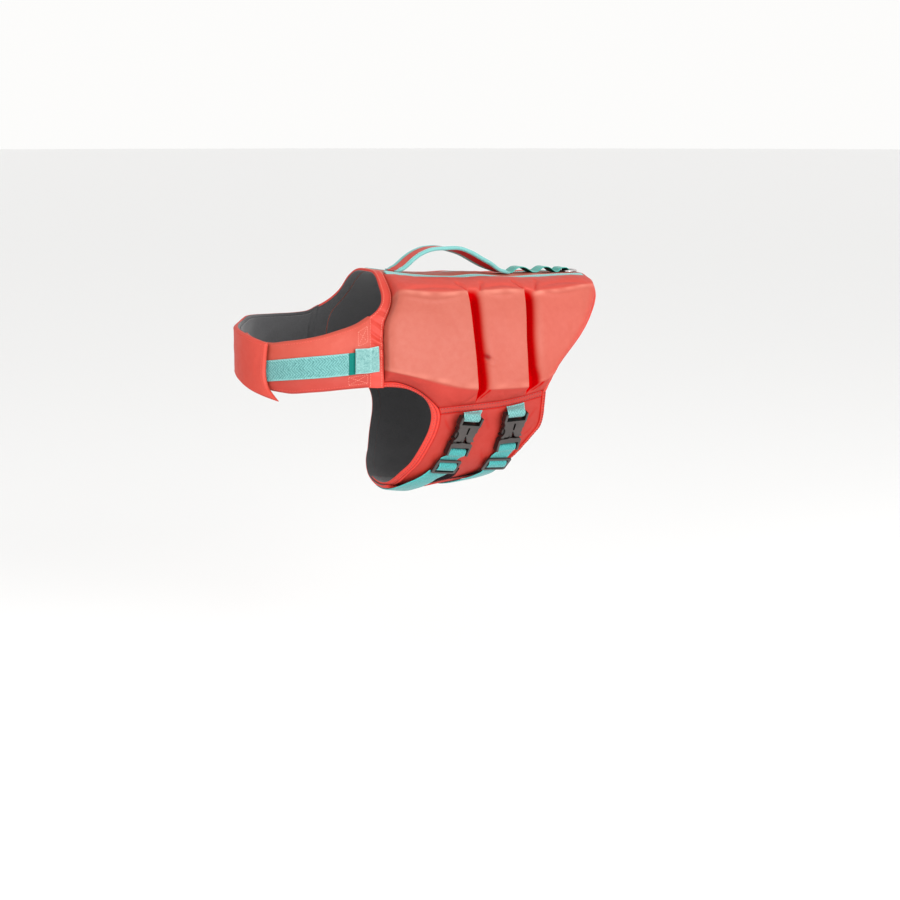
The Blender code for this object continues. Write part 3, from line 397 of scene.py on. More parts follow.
# The share of that height over the way from its front edge, and over the way from its rear edge
FROM_FRONT = Curve([(0, 0), (1.4, 0.62), (5, 0.88), (13, 1.0), (40, 1.0)])
FROM_REAR = Curve([(0, 0), (1.8, 0.42), (6, 0.72), (14, 0.87), (29, 0.97), (50, 1.0), (80, 1.0)])
# The share of it over the way from a groove's front side, and over the way from its rear side
RIM = Curve([(-9, 1), (-2.6, 0.99), (-0.8, 0.93), (0.9, 0.5), (2.4, 0.18), (3.6, 0.12), (12, 0.12)])
SLOPE = Curve([(-13, 0.12), (-5.6, 0.15), (-2.2, 0.42), (1.6, 0.80), (5.6, 0.96), (10, 1.0), (15, 1.0)])
# How deep the grooves are over the same lines
GROOVE_DEPTH = Curve([
    (0.8, 0), (0.92, 0.1), (1.0, 0.62), (1.07, 0.97), (1.5, 1), (2.0, 1), (2.5, 1), (2.8, 0.8), (2.93, 0.4),
    (3.0, 0)])


def low_edge(x):
    """s of the side panel's lower seam."""
    x = np.clip(x, ARM_SEAM.keys[0], LOW_SEAM.keys[-1])
    return np.where(x < ARM_SEAM.keys[-1], ARM_SEAM(x), LOW_SEAM(x))


def between(u, lines):
    """Values at u, where whole numbers are the lines."""
    i = np.clip(u.astype(int), 0, len(lines) - 2)
    share = u - i
    lines = np.stack(lines)
    here = np.take_along_axis(lines, i[None], 0)[0]
    after = np.take_along_axis(lines, i[None] + 1, 0)[0]
    return here * (1 - share) + after * share


def panel_place(u, v):
    """x and s on the side panel: u counts its upright lines and v the lines along it."""
    x = np.zeros(u.shape)
    for _ in range(SETTLE):
        seam = low_edge(x)
        s = between(v, [TOP_SEAM + SEAM / 2 + 0 * x, CREASE(x), np.minimum(LOW_CREASE(x), seam - 12),
                        seam - SEAM / 2])
        x = 0.5 * x + 0.5 * between(u, [FRONT(s) + SEAM, GROOVE_1L(s), GROOVE_1R(s), GROOVE_2L(s), GROOVE_2R(s),
                                        REAR(s) - SEAM])
    return x, s


# Folds of the side panels: from (x, s) to (x, s), half width and height
LEFT_FOLDS = [
    (-147, 75, -66, 75.5, 2.4, 0.9), (-145, 69, -64, 69.5, 2.6, -1.3), (-40, 73.5, 12, 73, 2.4, 0.9),
    (-42, 67.5, 14, 67, 2.6, -1.3), (34, 73, 108, 66, 2.6, 0.9), (36, 67, 110, 60, 2.8, -1.2),
    (-72, 58, -60, 71, 2.2, -2.6), (-44, 72, -34, 57, 2.6, -2.2), (-66, 62, -53, 74, 1.8, 1.4),
    (6, 56, 16, 69, 2.2, -2.6), (32, 71, 43, 55, 2.8, -2.4), (10, 59, 22, 73, 1.8, 1.3),
    (-148, 52, -120, 46, 4.5, -0.8), (-112, 44, -84, 50, 5, 0.7), (-30, 45, -4, 41, 4.5, -0.7),
    (48, 49, 76, 43, 5, -0.8), (84, 48, 112, 40, 4.5, 0.6), (-136, 60, -108, 58, 4, 0.7),
    (-60, 182, -74, 196, 2.0, -1.8), (-47, 179, -57, 198, 1.4, 2.2), (-44, 181, -53, 198, 1.5, -2.0),
    (12, 178, 2, 191, 2.0, -1.7), (28, 172, 16, 191, 1.4, 2.2), (31, 174, 20, 191, 1.5, -2.0),
    (-52, 143, -40, 146, 1.8, -1.8), (-48, 147, -38, 150, 1.8, 0.8), (-168, 112, -150, 128, 5, 0.7),
    (-166, 140, -146, 150, 4.5, -0.8), (-120, 168, -92, 178, 4, -0.9), (-100, 182, -84, 196, 3, 0.8),
    (-26, 180, -18, 192, 3, -0.7), (-150, 158, -128, 170, 3.6, 0.8), (70, 112, 92, 100, 5, -0.8),
    (60, 134, 76, 122, 4.5, 0.7), (96, 84, 116, 74, 4.5, -0.7), (36, 158, 48, 172, 3.5, -1.0),
    (-96, 92, -82, 120, 7, -0.6), (-20, 92, -10, 130, 7, 0.5)]
# Those of the right panel lie a little elsewhere
FOLDS = {LEFT: LEFT_FOLDS,
         RIGHT: [(x0 + 3, s0, x1 - 2, s1 + 1, wide * 1.1, high * 0.9)
                 for x0, s0, x1, s1, wide, high in LEFT_FOLDS]}
# Painted shade: dark lines beside the pleats, from (x, s) to (x, s), half width and depth of colour
PLEAT_SHADE_LINES = [
    (-71, 59, -60.5, 70.5, 0.9, 0.7), (-46, 71, -38, 61, 0.9, 0.45), (6, 56, 17, 69, 0.9, 0.7),
    (31, 70, 40, 59, 0.9, 0.4)]
GROOVES = (GROOVE_1L, GROOVE_1R), (GROOVE_2L, GROOVE_2R)
SNAG_X, SNAG_S = -50, 141


def groove_share(x, s, v):
    """1 on the chambers, and less in the two grooves."""
    depth = np.clip(GROOVE_DEPTH.held(v), 0, 1)
    share = np.ones(x.shape)
    for left, right in GROOVES:
        floor = np.maximum(RIM.held(x - left(s)),
                           SLOPE.held(x - right(s)))
        share = share * (1 - depth * (1 - floor))
    return share


def side_panel(name, side, mats):
    us = stretches((66, 0.7), (22, 0.0), (52, 0.4), (22, 0.0), (72, 0.7))
    vs = stretches((40, 0.6), (68, 0.5), (30, 0.3))

    def surface(u, v, out):
        x, s = panel_place(u, v)
        if not out:
            return on(side, x, s, 0.0), stacked(x, s)
        from_front, from_rear = x - FRONT(s), REAR(s) - x
        share = FROM_FRONT.held(from_front - SEAM) * FROM_REAR.held(from_rear - SEAM) * groove_share(x, s, v)
        lift = EDGE + (DOWN(v) - EDGE) * share
        calm = ease(0, 9, lift - EDGE)
        lift = lift + calm * (crease(x, s, FOLDS[side]) + 0.38 * ripple(x, s, 60, 11 + side)
                              + 0.10 * ripple(x, s, 22, 21 + side))
        gap = np.minimum(np.minimum(s - TOP_SEAM, low_edge(x) - s), np.minimum(from_front, from_rear))
        pucker = 0.22 * bump(gap - 6, 4.5) * ripple(x, s, 11, 31 + side)
        return on(side, x, s, lift + pucker), stacked(x, s)

    def snag(x, s):
        """Where threads are pulled beside the left panel's front groove; the patch is painted darker, as
        painted shade.
        """
        slant = SNAG_S + 0.35 * (x - SNAG_X - 2)
        return np.exp(-((x - SNAG_X) / 5.2) ** 4 - ((s - slant) / 2.6) ** 2) * (side == LEFT)

    # Painted shade: the grooves, the lines beside their pleats, the lower slope, the low seam and the pulled
    # threads turn darker and deeper red.
    def dark_and_shade(u, v):
        x, s = panel_place(u, v)
        dark = ease(0.0, 0.46, 1 - groove_share(x, s, v))
        for left, right in GROOVES:
            a, b = left(s), right(s)
            c = (x - a) / np.maximum(b - a, 4.0)
            line = 1.04 * (1 - np.clip((v - 2.0) / 0.97, 0, 1) ** 2)
            core = 1 - ease(-0.07, 0.07, c - line)
            pleat = ease(2.02, 2.12, v) * (c > -0.6) * (c < 1.8)
            beyond = 0.85 * bump(c - line - 0.3, 0.12) * (1 - ease(2.55, 2.8, v))
            dark = dark * (1 - pleat * (1 - core)) + pleat * beyond
        lower = 0.2 * ease(1.97, 2.15, v) + 0.25 * ease(2.86, 2.99, v)
        return np.clip(np.maximum(dark, 0.6 * snag(x, s)) + lower + crease(x, s, PLEAT_SHADE_LINES), 0, 1)

    # Painted shade: the sloping bands above and below the chambers, the two rear chambers and the rounded rear
    # edge are painted redder, as less lit.
    def less_lit(u, v):
        x, s = panel_place(u, v)
        return np.minimum(1 - ease(0.9, 1.03, v) + ease(1.97, 2.15, v)
                          + 0.13 * ease(-50, -44, x) + 0.18 * ease(18, 40, x)
                          + 0.6 * (1 - ease(3, 17, REAR(s) - x)), 1)

    # Painted shade: the lower slope is painted darker, and the pulled threads much darker.
    def painted_shade(u, v):
        x, s = panel_place(u, v)
        return np.maximum(0.17 * ease(1.97, 2.15, v), 0.95 * snag(x, s))

    # Painted highlight: a pale line along both creases of the chambers.
    def crease_highlight(u, v):
        x, s = panel_place(u, v)
        edge = bump(v - 1.01, 0.03) + 0.5 * bump(v - 1.98, 0.035)
        return edge * (0.6 + 0.4 * ripple(x, s, 20, 71)) * groove_share(x, s, v) ** 2
    return wall(name, us, vs, surface, mats, {"dark_and_shade": dark_and_shade, "less_lit": less_lit, "crease_highlight": crease_highlight, "painted_shade": painted_shade})


# ---------------------------------------------------------------- spine, neck band, bindings and belly

def sided(s):
    """The side on which s lies, where minus is the left one."""
    return np.where(s >= 0, RIGHT, LEFT)


# Open edge and sewn edge (x and s) and thickness of the neck band: from the middle of the back to the
# collar, then down behind the collar's end
NECK = table("xo so xi si thick", [
    (-158.0, 0, -147.3, 0, 3.8), (-158.8, 16, -147.8, 16, 3.8), (-160.6, 32, -149.4, 30, 3.8),
    (-163.0, 48, -150.8, 48, 4.0), (-164.6, 62, -152.4, 64, 4.4), (-168.5, 73, -156.5, 76, 5.0),
    (-176.0, 82, -162.4, 86.2, 5.8), (-184.5, 88, -166.8, 93, 6.6), (-191.2, 91.2, -170.2, 97.8, 7.2)])
SEAM_LINE = table("xo so xi si thick", [
    (-191.2, 91.2, -170.2, 97.8, 7.2), (-193.2, 105, -174.2, 112, 7.4), (-195.0, 127, -175.4, 130, 7.5),
    (-195.7, 150, -175.5, 151, 7.5), (-195.6, 170.2, -175.4, 172.1, 7.5)])


def rear_line(s):
    """x of the rear edge of spine and side panels."""
    s, seam = np.abs(s), REAR.keys[0]
    return np.where(s > seam, REAR(np.maximum(s, seam)), REAR.values[0] + 0.6 * (1 - (s / seam) ** 2))


BINDING_END = 184.5  # s of the rear binding's two ends
SPINE_FOLDS = [
    (-128, -14, -100, -20, 4, -0.7), (-96, 12, -70, 20, 5, -0.8), (-30, -16, -4, -10, 4, -0.7),
    (12, 14, 34, 20, 4, 0.7), (40, -16, 62, -20, 4, -0.8), (80, 15, 104, 22, 4.5, -0.7),
    (-140, 6, -126, 18, 4, 0.6), (104, -10, 124, -20, 4, 0.6), (-60, -20, -38, -24, 3.5, 0.6)]


def spine_panel(mats):
    half = TOP_SEAM - SEAM / 2

    def surface(u, v, out):
        s = (2 * v - 1) * half
        x = (at(NECK, "so", "xi", np.abs(s)) + SEAM / 2) * (1 - u) + (rear_line(s) - SEAM / 2) * u
        rim = ease(0, 3, TOP_SEAM - np.abs(s)) * within(u, 0.012)
        soft = 0.22 * ripple(x, s, 34, 5) + 0.5 * crease(x, s, SPINE_FOLDS)
        return on(sided(s), x, np.abs(s), EDGE - 0.7 + rim * (0.9 + soft) if out else 0.0), stacked(x, s)
    return wall("spine_panel_cloth", spread(180, 0.3), spread(56, 0.4), surface, mats)


def resample(points, count):
    """Points spaced evenly along a smooth curve through the given ones."""
    pts = np.array(points, float)
    run = run_of(pts)
    return np.stack([smooth(run, pts[:, k], np.linspace(0, run[-1], count)) for k in range(pts.shape[1])], -1)


def point_at(points, t):
    """The point at share t of a line of points."""
    run = run_of(points)
    return [smooth(run, points[:, k], t * run[-1]) for k in range(points.shape[1])]


# Folds of the neck band: the way along it where they begin, how far across it that is, the way at the sewn
# edge, half width and height
NECK_FOLDS = [
    (118, 0.0, 126, 2.4, -2.0), (132, 0.1, 138, 2.0, -1.8), (125, 0.0, 132, 2.0, 1.4),
    (109, 0.0, 117, 2.2, 1.2), (102, 0.0, 109, 2.6, -1.6), (143, 0.0, 147, 2.2, 1.1), (94, 0.1, 100, 2.4, 0.9),
    (86, 0.1, 90, 2.6, -1.0), (150, 0.0, 153, 3.4, -0.9), (168, 0.0, 170, 4.0, 0.7), (186, 0.0, 188, 3.4, -0.8),
    (60, 0.0, 66, 4, 0.5), (36, 0.0, 40, 4, -0.5)]


def neck_band(mats):
    """From the left part's lower end (u = -1) over the back to the right one's."""
    line = np.concatenate([resample(stacked(*tab.values()), n)[cut:]
                           for tab, n, cut in ((NECK, 33, 0), (SEAM_LINE, 17, 1))])
    run = run_of(line[:, :2])

    def surface(u, v, out):
        way = np.abs(u) * run[-1]
        xo, so, xi, si, thick = (smooth(run, column, way) for column in line.T)
        gap = np.hypot(xo - xi, so - si)
        xi, si = xi + (xo - xi) / gap * SEAM / 2, si + (so - si) / gap * SEAM / 2
        roll = np.abs(2 * v - 1)
        lift = thick * 0.16 * roll ** 12
        if out:
            folds = sum(high * bump(way - w0 - (w1 - w0) * (v - v0), wide) * ease(v0 - 0.1, v0 + 0.3, v)
                        for w0, v0, w1, wide, high in NECK_FOLDS)
            lift = (thick * (1 - 0.28 * roll ** 12) - 0.7 * roll ** 2
                    + (1 - roll ** 8) * (folds + 0.25 * ripple(way, v * 20, 22, 8)))
        return on(sided(u), xo * (1 - v) + xi * v, so * (1 - v) + si * v, lift), stacked(way, v * 18)

    # Painted shade along both edges of the neck band, darker at its sewn edge.
    def dark_and_shade(u, v):
        return 0.7 * (1 - ease(0, 0.07, 1 - v)) + 0.35 * (1 - ease(0, 0.05, v))
    return wall("neck_band_cloth", np.linspace(-1, 1, 421), spread(26, 0.6), surface, mats, {"dark_and_shade": dark_and_shade})


def rear_binding(mats):
    """From the left panel's lower seam (u = -1) over the back to the right one's."""
    def surface(u, v, out):
        s = np.abs(u) * BINDING_END
        step = np.minimum(1.0, s)
        ahead = np.where(s < 1, 0, (rear_line(s + 1) - rear_line(s - step)) / (1 + step))
        away = (SEAM + 4 * v) / np.hypot(1, ahead)
        curl = ease(0.86, 1, v)
        lift = 0.7 * curl
        if out:
            lift = EDGE + 0.9 * (1 - (2 * v - 1) ** 2) - 0.4 * v - 1.2 * curl + 0.12 * ripple(s, v, 9, 3)
        return on(sided(u), rear_line(s) + away, s - ahead * away, lift), stacked(s, v * 4)
    return wall("rear_binding_cloth", np.linspace(-1, 1, 361), spread(9, 0.5), surface, mats, sharp=80)


# x of a belly flap's armhole edge and rear edge, over s
ARM_CUT = Curve([
    (200, -115.6), (208.8, -112.8), (218, -112.6), (230, -114.5), (256, -123.1), (276, -130.0), (291.8, -137.5),
    (312, -141.5), (346, -142.5), (380, -142.0)])
ARM_BAND = 11.0
HEM_CUT = Curve([
    (183, 46.3), (204.8, 47.2), (222, 48.0), (232.8, 47.0), (251.1, 35.6), (270, 26.5), (290, 18.6),
    (315, 12.5), (346, 10.5), (380, 11.5)])
HEM_BAND = 6.0
BAND = 2.8           # thickness of the armhole and hem bands
OVERLAP = 20.0       # how far each belly flap passes the middle
UNDER, OVER = 60.0, 24.0
RISE = 3.9           # lift of the right flap where it lies on the left one


def on_belly(side, x, s, lift):
    """The point of a belly flap at x and s, also past the middle of the belly."""
    if side == RIGHT:
        lift = lift + RISE * ease(girth(x) - UNDER, girth(x) - OVER, s)
    far = s > girth(x)
    return on(np.where(far, -side, side), x, np.where(far, 2 * girth(x) - s, s), lift)


BELLY_FOLDS = [
    (-98, 214, -72, 206, 4, -0.8), (-96, 236, -80, 226, 5, 0.7), (-30, 208, -12, 214, 5, 0.7),
    (12, 206, 32, 200, 4, -0.9), (10, 230, 34, 222, 5, 0.7), (-44, 230, -28, 262, 6, -0.7),
    (-118, 262, -100, 254, 4, -0.7), (-60, 262, -40, 280, 6, 0.8), (-30, 276, -8, 292, 5, -0.7),
    (-80, 300, -66, 322, 6, -0.6), (0, 262, 18, 252, 4, -0.6)]
# Painted shade along folds of the belly flaps: from (x, s) to (x, s), half width and depth of colour
BELLY_SHADE_LINES = [
    (14, 230, 34, 207, 1.6, 0.32), (-6, 262, 16, 238, 1.9, 0.28), (-95, 214, -84, 232, 1.8, 0.28),
    (-40, 209, -31, 232, 2.2, 0.2), (-36, 262, -24, 284, 2.2, 0.22), (22, 244, 34, 232, 1.5, 0.25)]


def belly_flap(name, side, mats):
    def place(u, v):
        x = -100 + 140 * u
        for _ in range(SETTLE):
            top = low_edge(x) + SEAM / 2
            s = top + (girth(x) + OVERLAP - top) * v
            a = ARM_CUT(np.maximum(s, 200)) + ARM_BAND + SEAM
            b = HEM_CUT(s) - HEM_BAND - 2 * SEAM
            x = 0.5 * x + 0.5 * (a + (b - a) * u)
        return x, s

    def surface(u, v, out):
        x, s = place(u, v)
        calm = within(u, 0.08) * within(v, 0.06)
        soft = calm * (0.3 * ripple(x, s, 42, 15 + side) + 0.12 * ripple(x, s, 15, 25 + side)
                       + 0.55 * crease(x, s, BELLY_FOLDS))
        hem = 1.1 * bump(s - low_edge(x) - 4.2, 3.9, 6)
        return on_belly(side, x, s, FLAP - 0.25 + hem + soft if out else 0.4 * soft), stacked(x, s)

    # Painted shade at the seam, along a line below it, beside the armhole and hem edges, and along folds.
    def dark_and_shade(u, v):
        x, s = place(u, v)
        beside, below = np.minimum(u, 1 - u) * 150, s - low_edge(x)
        return np.clip(0.8 * (1 - ease(0, 1.6, below)) + 0.75 * bump(below - 8.6, 0.8)
                       + 0.6 * (1 - ease(0, 2.0, beside)) + crease(x, s, BELLY_SHADE_LINES), 0, 1)
    vs = np.concatenate([np.linspace(0, 0.08, 25), np.linspace(0.08, 1, 95)[1:]])
    return wall(name, spread(110, 0.5), vs, surface, mats, {"dark_and_shade": dark_and_shade})


def band(name, side, edge_a, edge_b, mats, n, crown, rolled_at_b):
    """A band between two lines of (x, s) points, domed across, rolled at one edge and sewn at the other."""
    a, b = np.array(edge_a), np.array(edge_b)
    wide = np.linalg.norm(a - b, axis=1).mean()
    length = run_of((a + b) / 2)[-1]

    def from_sewn(v):
        return (v if rolled_at_b else 1 - v) * wide

    def surface(u, v, out):
        (xa, sa), (xb, sb) = point_at(a, u), point_at(b, u)
        edge = ease(0, 1, 1 - ((1 - v if rolled_at_b else v) / 0.16))
        if out:
            soft = (0.16 * ripple(u * length, v * wide, 13, 41 + side)
                    + 0.12 * ripple(u * length, 0 * v, 24, 43)) * (1 - edge) * within(v, 0.1)
            lift = (BAND + crown * (1 - (2 * v - 1) ** 2) - edge * 0.42 * BAND + soft
                    + 0.75 * bump(from_sewn(v) - 1.7, 1.1)
                    - 0.5 * bump(from_sewn(v) - 3.6, 0.8))
        else:
            lift = edge * 0.22 * BAND
        return (on_belly(side, xa * (1 - v) + xb * v, sa * (1 - v) + sb * v, lift),
                stacked(u * length, v * wide))

    # Painted shade at the band's sewn edge and along a line beside it.
    def dark_and_shade(u, v):
        away = from_sewn(v)
        return np.clip(0.75 * (1 - ease(0, 0.9, away)) + 0.6 * bump(away - 3.6, 0.6), 0, 1)
    return wall(name, np.linspace(0, 1, n + 1), spread(26, 0.4), surface, mats, {"dark_and_shade": dark_and_shade}, sharp=80)


# Open and sewn edges (x, s) of an armhole band under the side panel
ARM_OPEN = [
    (-174.9, 172.3), (-162.6, 173.2), (-145.2, 176.6), (-131.6, 182.9), (-122.3, 189.5), (-115.9, 199.0),
    (-112.9, 208.8)]
ARM_SEWN = [
    (-174.9, 166.2), (-159.6, 167.4), (-137.1, 175.6), (-120.2, 186.8), (-112.2, 193.8), (-105.1, 200.8),
    (-101.9, 208.8)]


def arm_band(name, side, mats):
    down = np.linspace(215, girth(-140) + OVERLAP, 20)
    cut = ARM_CUT(down)
    a = np.concatenate([resample(ARM_OPEN, 13), stacked(cut, down)])
    b = np.concatenate([resample(ARM_SEWN, 13), stacked(cut + ARM_BAND, down)])
    return band(name, side, a, b, mats, 170, 0.7, False)


def hem_band(name, side, mats):
    down = np.linspace(184.8, girth(12) + OVERLAP, 21)
    x = HEM_CUT(down)
    return band(name, side, stacked(x - HEM_BAND, down), stacked(x, down), mats, 110, 0.6, True)


# ---------------------------------------------------------------- collar

PATH_X, PATH_LONG, PATH_WIDE, PATH_POWER = -180.0, 143.0, 88.0, 2.15
SEAM_ANGLE = 6.2
END = 180 - SEAM_ANGLE
# Heights of the top and lower edges of the collar's two parts, over the angle round it
TOP_LEFT = Curve([
    (5.8, -33.1), (11.8, -41.3), (21.5, -48.5), (29.2, -53.1), (39.5, -56.9), (48.8, -58.8), (61, -61.3),
    (78, -58.8), (96, -53.8)])
LOW_LEFT = Curve([
    (5.8, -115.9), (14.5, -116.3), (21.8, -117.1), (35.2, -119.3), (45.2, -121.4), (52, -120.9), (62, -119.1),
    (78, -113.8), (96, -105.3)])
TOP_RIGHT = Curve([
    (60.8, -61.7), (72.2, -57), (85, -52.6), (100, -49.3), (120.5, -44.9), (129.5, -40.8), (150, -40.8),
    (168, -39.3), (174.2, -33.1)])
LOW_RIGHT = Curve([
    (54, -128.7), (63.8, -124), (80.5, -116.1), (91.5, -109.8), (104, -103.8), (125, -104.8), (150, -109.8),
    (174.2, -115.9)])
# Angle of the chest flap's free edge, from its top (0) to its lower corner (1)
FREE_EDGE = Curve([(0, 60.8), (0.3, 62.2), (0.6, 62.8), (0.8, 61.0), (0.92, 57.0), (1, 53.6)])
TUCK = 9.9           # how far the left part lies inside the chest flap
TUCK_FROM, TUCK_TO = 22.0, 60.0
LEFT_LONG, LEFT_WIDE = 190, 76       # size of the collar's left part
RIGHT_LONG, RIGHT_WIDE = 265, 66     # and of its right part
UNDER_BAND = 0.9     # how far, in degrees, the collar's two ends lie under the neck band
LINING = 1.2
WEB_ON = table("a top low", [(10, -72.7, -98.2), (34, -76.5, -101.9), (62, -82.5, -106.8), (75, -83.3, -107.6)])
TAB_LIFT, TAB_THICK = 2.4, 2.0


def collar_lean(side, v):
    """From the U path to where the neck band really ends."""
    turn, power = radians(SEAM_ANGLE), 2 / PATH_POWER
    z = TOP_LEFT.values[0] * (1 - v) + LOW_LEFT.values[0] * v
    path = stacked(np.full(v.shape, PATH_X - PATH_LONG * sin(turn) ** power),
                   side * PATH_WIDE * cos(turn) ** power + 0 * v, z)
    s = SEAM_LINE["so"][0] * (1 - v) + SEAM_LINE["so"][-1] * v
    return on(side, at(SEAM_LINE, "so", "xo", s), s, at(SEAM_LINE, "so", "thick", s)) - path


def collar(a, v, depth, top, low):
    """The point of the collar at angle a (degrees), v from its top to its lower edge, depth inwards."""
    a, v, depth = np.broadcast_arrays(np.asarray(a, float), np.asarray(v, float), np.asarray(depth, float))
    turn, power = np.radians(a), 2 / PATH_POWER
    c, s = np.cos(turn), np.sin(turn)
    side = np.where(a < 90, LEFT, RIGHT)
    x = PATH_X - PATH_LONG * np.abs(s) ** power
    y = side * PATH_WIDE * np.abs(c) ** power
    n = unit(stacked(-np.abs(s) ** (2 - power) / PATH_LONG, side * np.abs(c) ** (2 - power) / PATH_WIDE))
    z = top(a) * (1 - v) + low(a) * v
    fade = 1 - ease(SEAM_ANGLE, 48, np.minimum(a, 180 - a))
    p = stacked(x, y, z) + fade[..., None] * collar_lean(side, v)
    return p - depth[..., None] * stacked(n[..., 0], n[..., 1], 0 * z)


# Folds of the collar's two parts, in millimetres along and down each
COLLAR_FOLDS = {
    "left": [(10, 4, 14, 30, 3.4, 0.9), (24, 6, 38, 16, 4.5, 0.7), (52, 8, 84, 15, 4.5, -0.8),
             (96, 10, 124, 5, 5, 0.8), (20, 62, 50, 58, 4.5, -0.8), (60, 66, 92, 62, 5, 0.8),
             (34, 72, 70, 70, 4, -0.7), (100, 60, 118, 66, 5, -0.7), (16, 44, 20, 74, 3.6, -0.9)],
    "right": [(4, 10, 16, 44, 5, -0.8), (20, 6, 60, 14, 6, 0.8), (30, 44, 70, 58, 7, -0.9),
              (10, 60, 44, 64, 5, 0.8), (80, 20, 120, 34, 7, 0.8), (110, 40, 160, 46, 7, -0.8),
              (150, 12, 190, 24, 6, 0.7), (200, 30, 220, 60, 6, -0.8), (235, 6, 240, 56, 4, -0.9),
              (252, 4, 254, 60, 3.4, 0.8)]}


def rolled(v, wide):
    """1 at both edges of something wide, and 0 from 3 mm inside them."""
    return 1 - ease(0, 3.0, np.minimum(v, 1 - v) * wide)


def collar_left(mats):
    first = SEAM_ANGLE - UNDER_BAND

    def surface(u, v, out):
        a = first + (TOP_LEFT.keys[-1] - first) * u
        tucked = ease(TUCK_FROM, TUCK_TO, a)
        w = 0.02 * tucked + v * (1 - 0.04 * tucked)
        edge = rolled(v, 70)
        if out:
            soft = (crease(u * LEFT_LONG, w * LEFT_WIDE, COLLAR_FOLDS["left"])
                    + 0.3 * ripple(u * LEFT_LONG, w * 70, 36, 51))
            soft = soft * (1 - edge) * (1 - 0.7 * ease(0.16, 0.24, v) * (1 - ease(0.68, 0.76, v)))
            depth = 2.5 * edge ** 2 - 0.45 * soft
        else:
            depth = COLLAR - 2.0 * edge ** 2
        return collar(a, w, TUCK * tucked + depth, TOP_LEFT, LOW_LEFT), stacked(u * LEFT_LONG, w * LEFT_WIDE)
    # Painted shade on the collar's lower part: redder, with a little painted shade and a darker colour.
    return wall("collar_left_cloth", spread(190, 0.1), spread(62, 0.6), surface, mats,
                {"less_lit": lambda u, v: 0.9 * ease(0.6, 0.8, v), "dark_and_shade": lambda u, v: 0.1 * ease(0.66, 0.98, v),
                 "painted_shade": lambda u, v: 0.17 * ease(0.55, 0.8, v)})


def collar_right(mats):
    def surface(u, v, out):
        a = FREE_EDGE(v) * (1 - u) + (END + UNDER_BAND) * u
        edge = np.maximum(rolled(v, 64), 1 - ease(0, 1, u * RIGHT_LONG / 3.6))
        if out:
            soft = (crease(u * RIGHT_LONG, v * RIGHT_WIDE, COLLAR_FOLDS["right"])
                    + 0.35 * ripple(u * RIGHT_LONG, v * RIGHT_WIDE, 44, 53))
            depth = 2.6 * edge ** 2 - 0.5 * soft * (1 - edge)
        else:
            depth = COLLAR - 2.0 * edge ** 2
        return collar(a, v, depth, TOP_RIGHT, LOW_RIGHT), stacked(u * RIGHT_LONG, v * RIGHT_WIDE)
    return wall("collar_right_cloth", spread(250, 0.25), spread(60, 0.6), surface, mats)


def collar_lining(mats):
    def surface(u, v, out):
        soft = 0.25 * ripple(u * 130, v * 50, 22, 57) * within(v, 0.1)
        depth = COLLAR + 0.8 + (0.0 if out else LINING) + soft
        return (collar(100 + (END - 103) * u, 0.06 + 0.88 * v, depth, TOP_RIGHT, LOW_RIGHT),
                stacked(u * 130, v * 55))
    return wall("collar_lining_cloth", spread(90, 0.1), spread(40, 0.2), surface, mats)


def collar_strip(start, end, tops, lift, steps):
    """Underside rows of webbing on the collar's left part, and the way out of it."""
    a = np.linspace(start, end, steps)
    d = TUCK * ease(TUCK_FROM, TUCK_TO, a)
    z0, z1 = TOP_LEFT(a), LOW_LEFT(a)
    top, low = tops(a)
    rows = [collar(a, (z - z0) / (z1 - z0), d - lift, TOP_LEFT, LOW_LEFT) for z in (top, (top + low) / 2, low)]
    above = collar(a, ((top + low) / 2 - z0) / (z1 - z0), d - lift - 1, TOP_LEFT, LOW_LEFT)
    return np.stack(rows, 1), above - rows[1]


# ---------------------------------------------------------------- handle, lash webbing and ring

# Height of the handle over the back, over x
HANDLE = Curve([
    (-125, 0), (-121.5, 0.1), (-118, 0.8), (-113, 3.4), (-106, 8.8), (-98, 15.6), (-89, 21.2), (-77, 25.6),
    (-64, 27.2), (-50, 26.6), (-36, 24.2), (-22, 19.6), (-7, 13.0), (6, 7.6), (16, 3.6), (24, 1.3), (32, 0.3)])
HANDLE_HALF, HANDLE_TAPE, HANDLE_THICK = 16.0, 6.2, 4.2
LEAN = 2.4           # how far the rear leg of the handle rolls to one side
# Height of the lash webbing over the back, over x
LASH = Curve([
    (35, 0), (39, 0.5), (43, 3.0), (48, 5.8), (53, 6.4), (58, 5.6), (64, 2.6), (68, 0.4), (72, 0), (76, 0.5),
    (80, 3.0), (85, 5.8), (90, 6.2), (95, 4.6), (100, 1.2), (104, 0), (107.5, 0.8), (111, 4.2), (115, 5.0),
    (119.5, 4.6), (124, 0.8), (127, 0), (130, 0)])
LASH_HALF = 10.0
RING_X, RING_DEEP, RING_HALF, RING_WIRE = 116.0, 20.0, 13.6, 1.5
ON_BACK = 3.4 + LAY
MIDDLE = 0.001       # s just beside the middle of the back


def handle_point(x, y, out):
    """A point of the handle: flat on the back at its feet, level across in its arch."""
    z = np.maximum(HANDLE(x), 0.0)
    lying = 1 - ease(0.5, 9.0, z)
    curved = on(sided(y), x, np.abs(y), ON_BACK)[..., 2]
    middle = on(RIGHT, x, MIDDLE, ON_BACK)[..., 2]
    step = 1.5
    slope = (HANDLE(x + step) - HANDLE(x - step)
             + figure(RIGHT, x + step, MIDDLE)[..., 2] - figure(RIGHT, x - step, MIDDLE)[..., 2]) / (2 * step)
    way = unit(stacked(-slope, 0 * slope, 1 + 0 * slope))
    leaning = LEAN * ease(-62, -34, x) * (1 - ease(2, 20, x)) * y / HANDLE_HALF
    return (stacked(x, y, curved * lying + middle * (1 - lying) + z - leaning)
            + np.asarray(out)[..., None] * way)


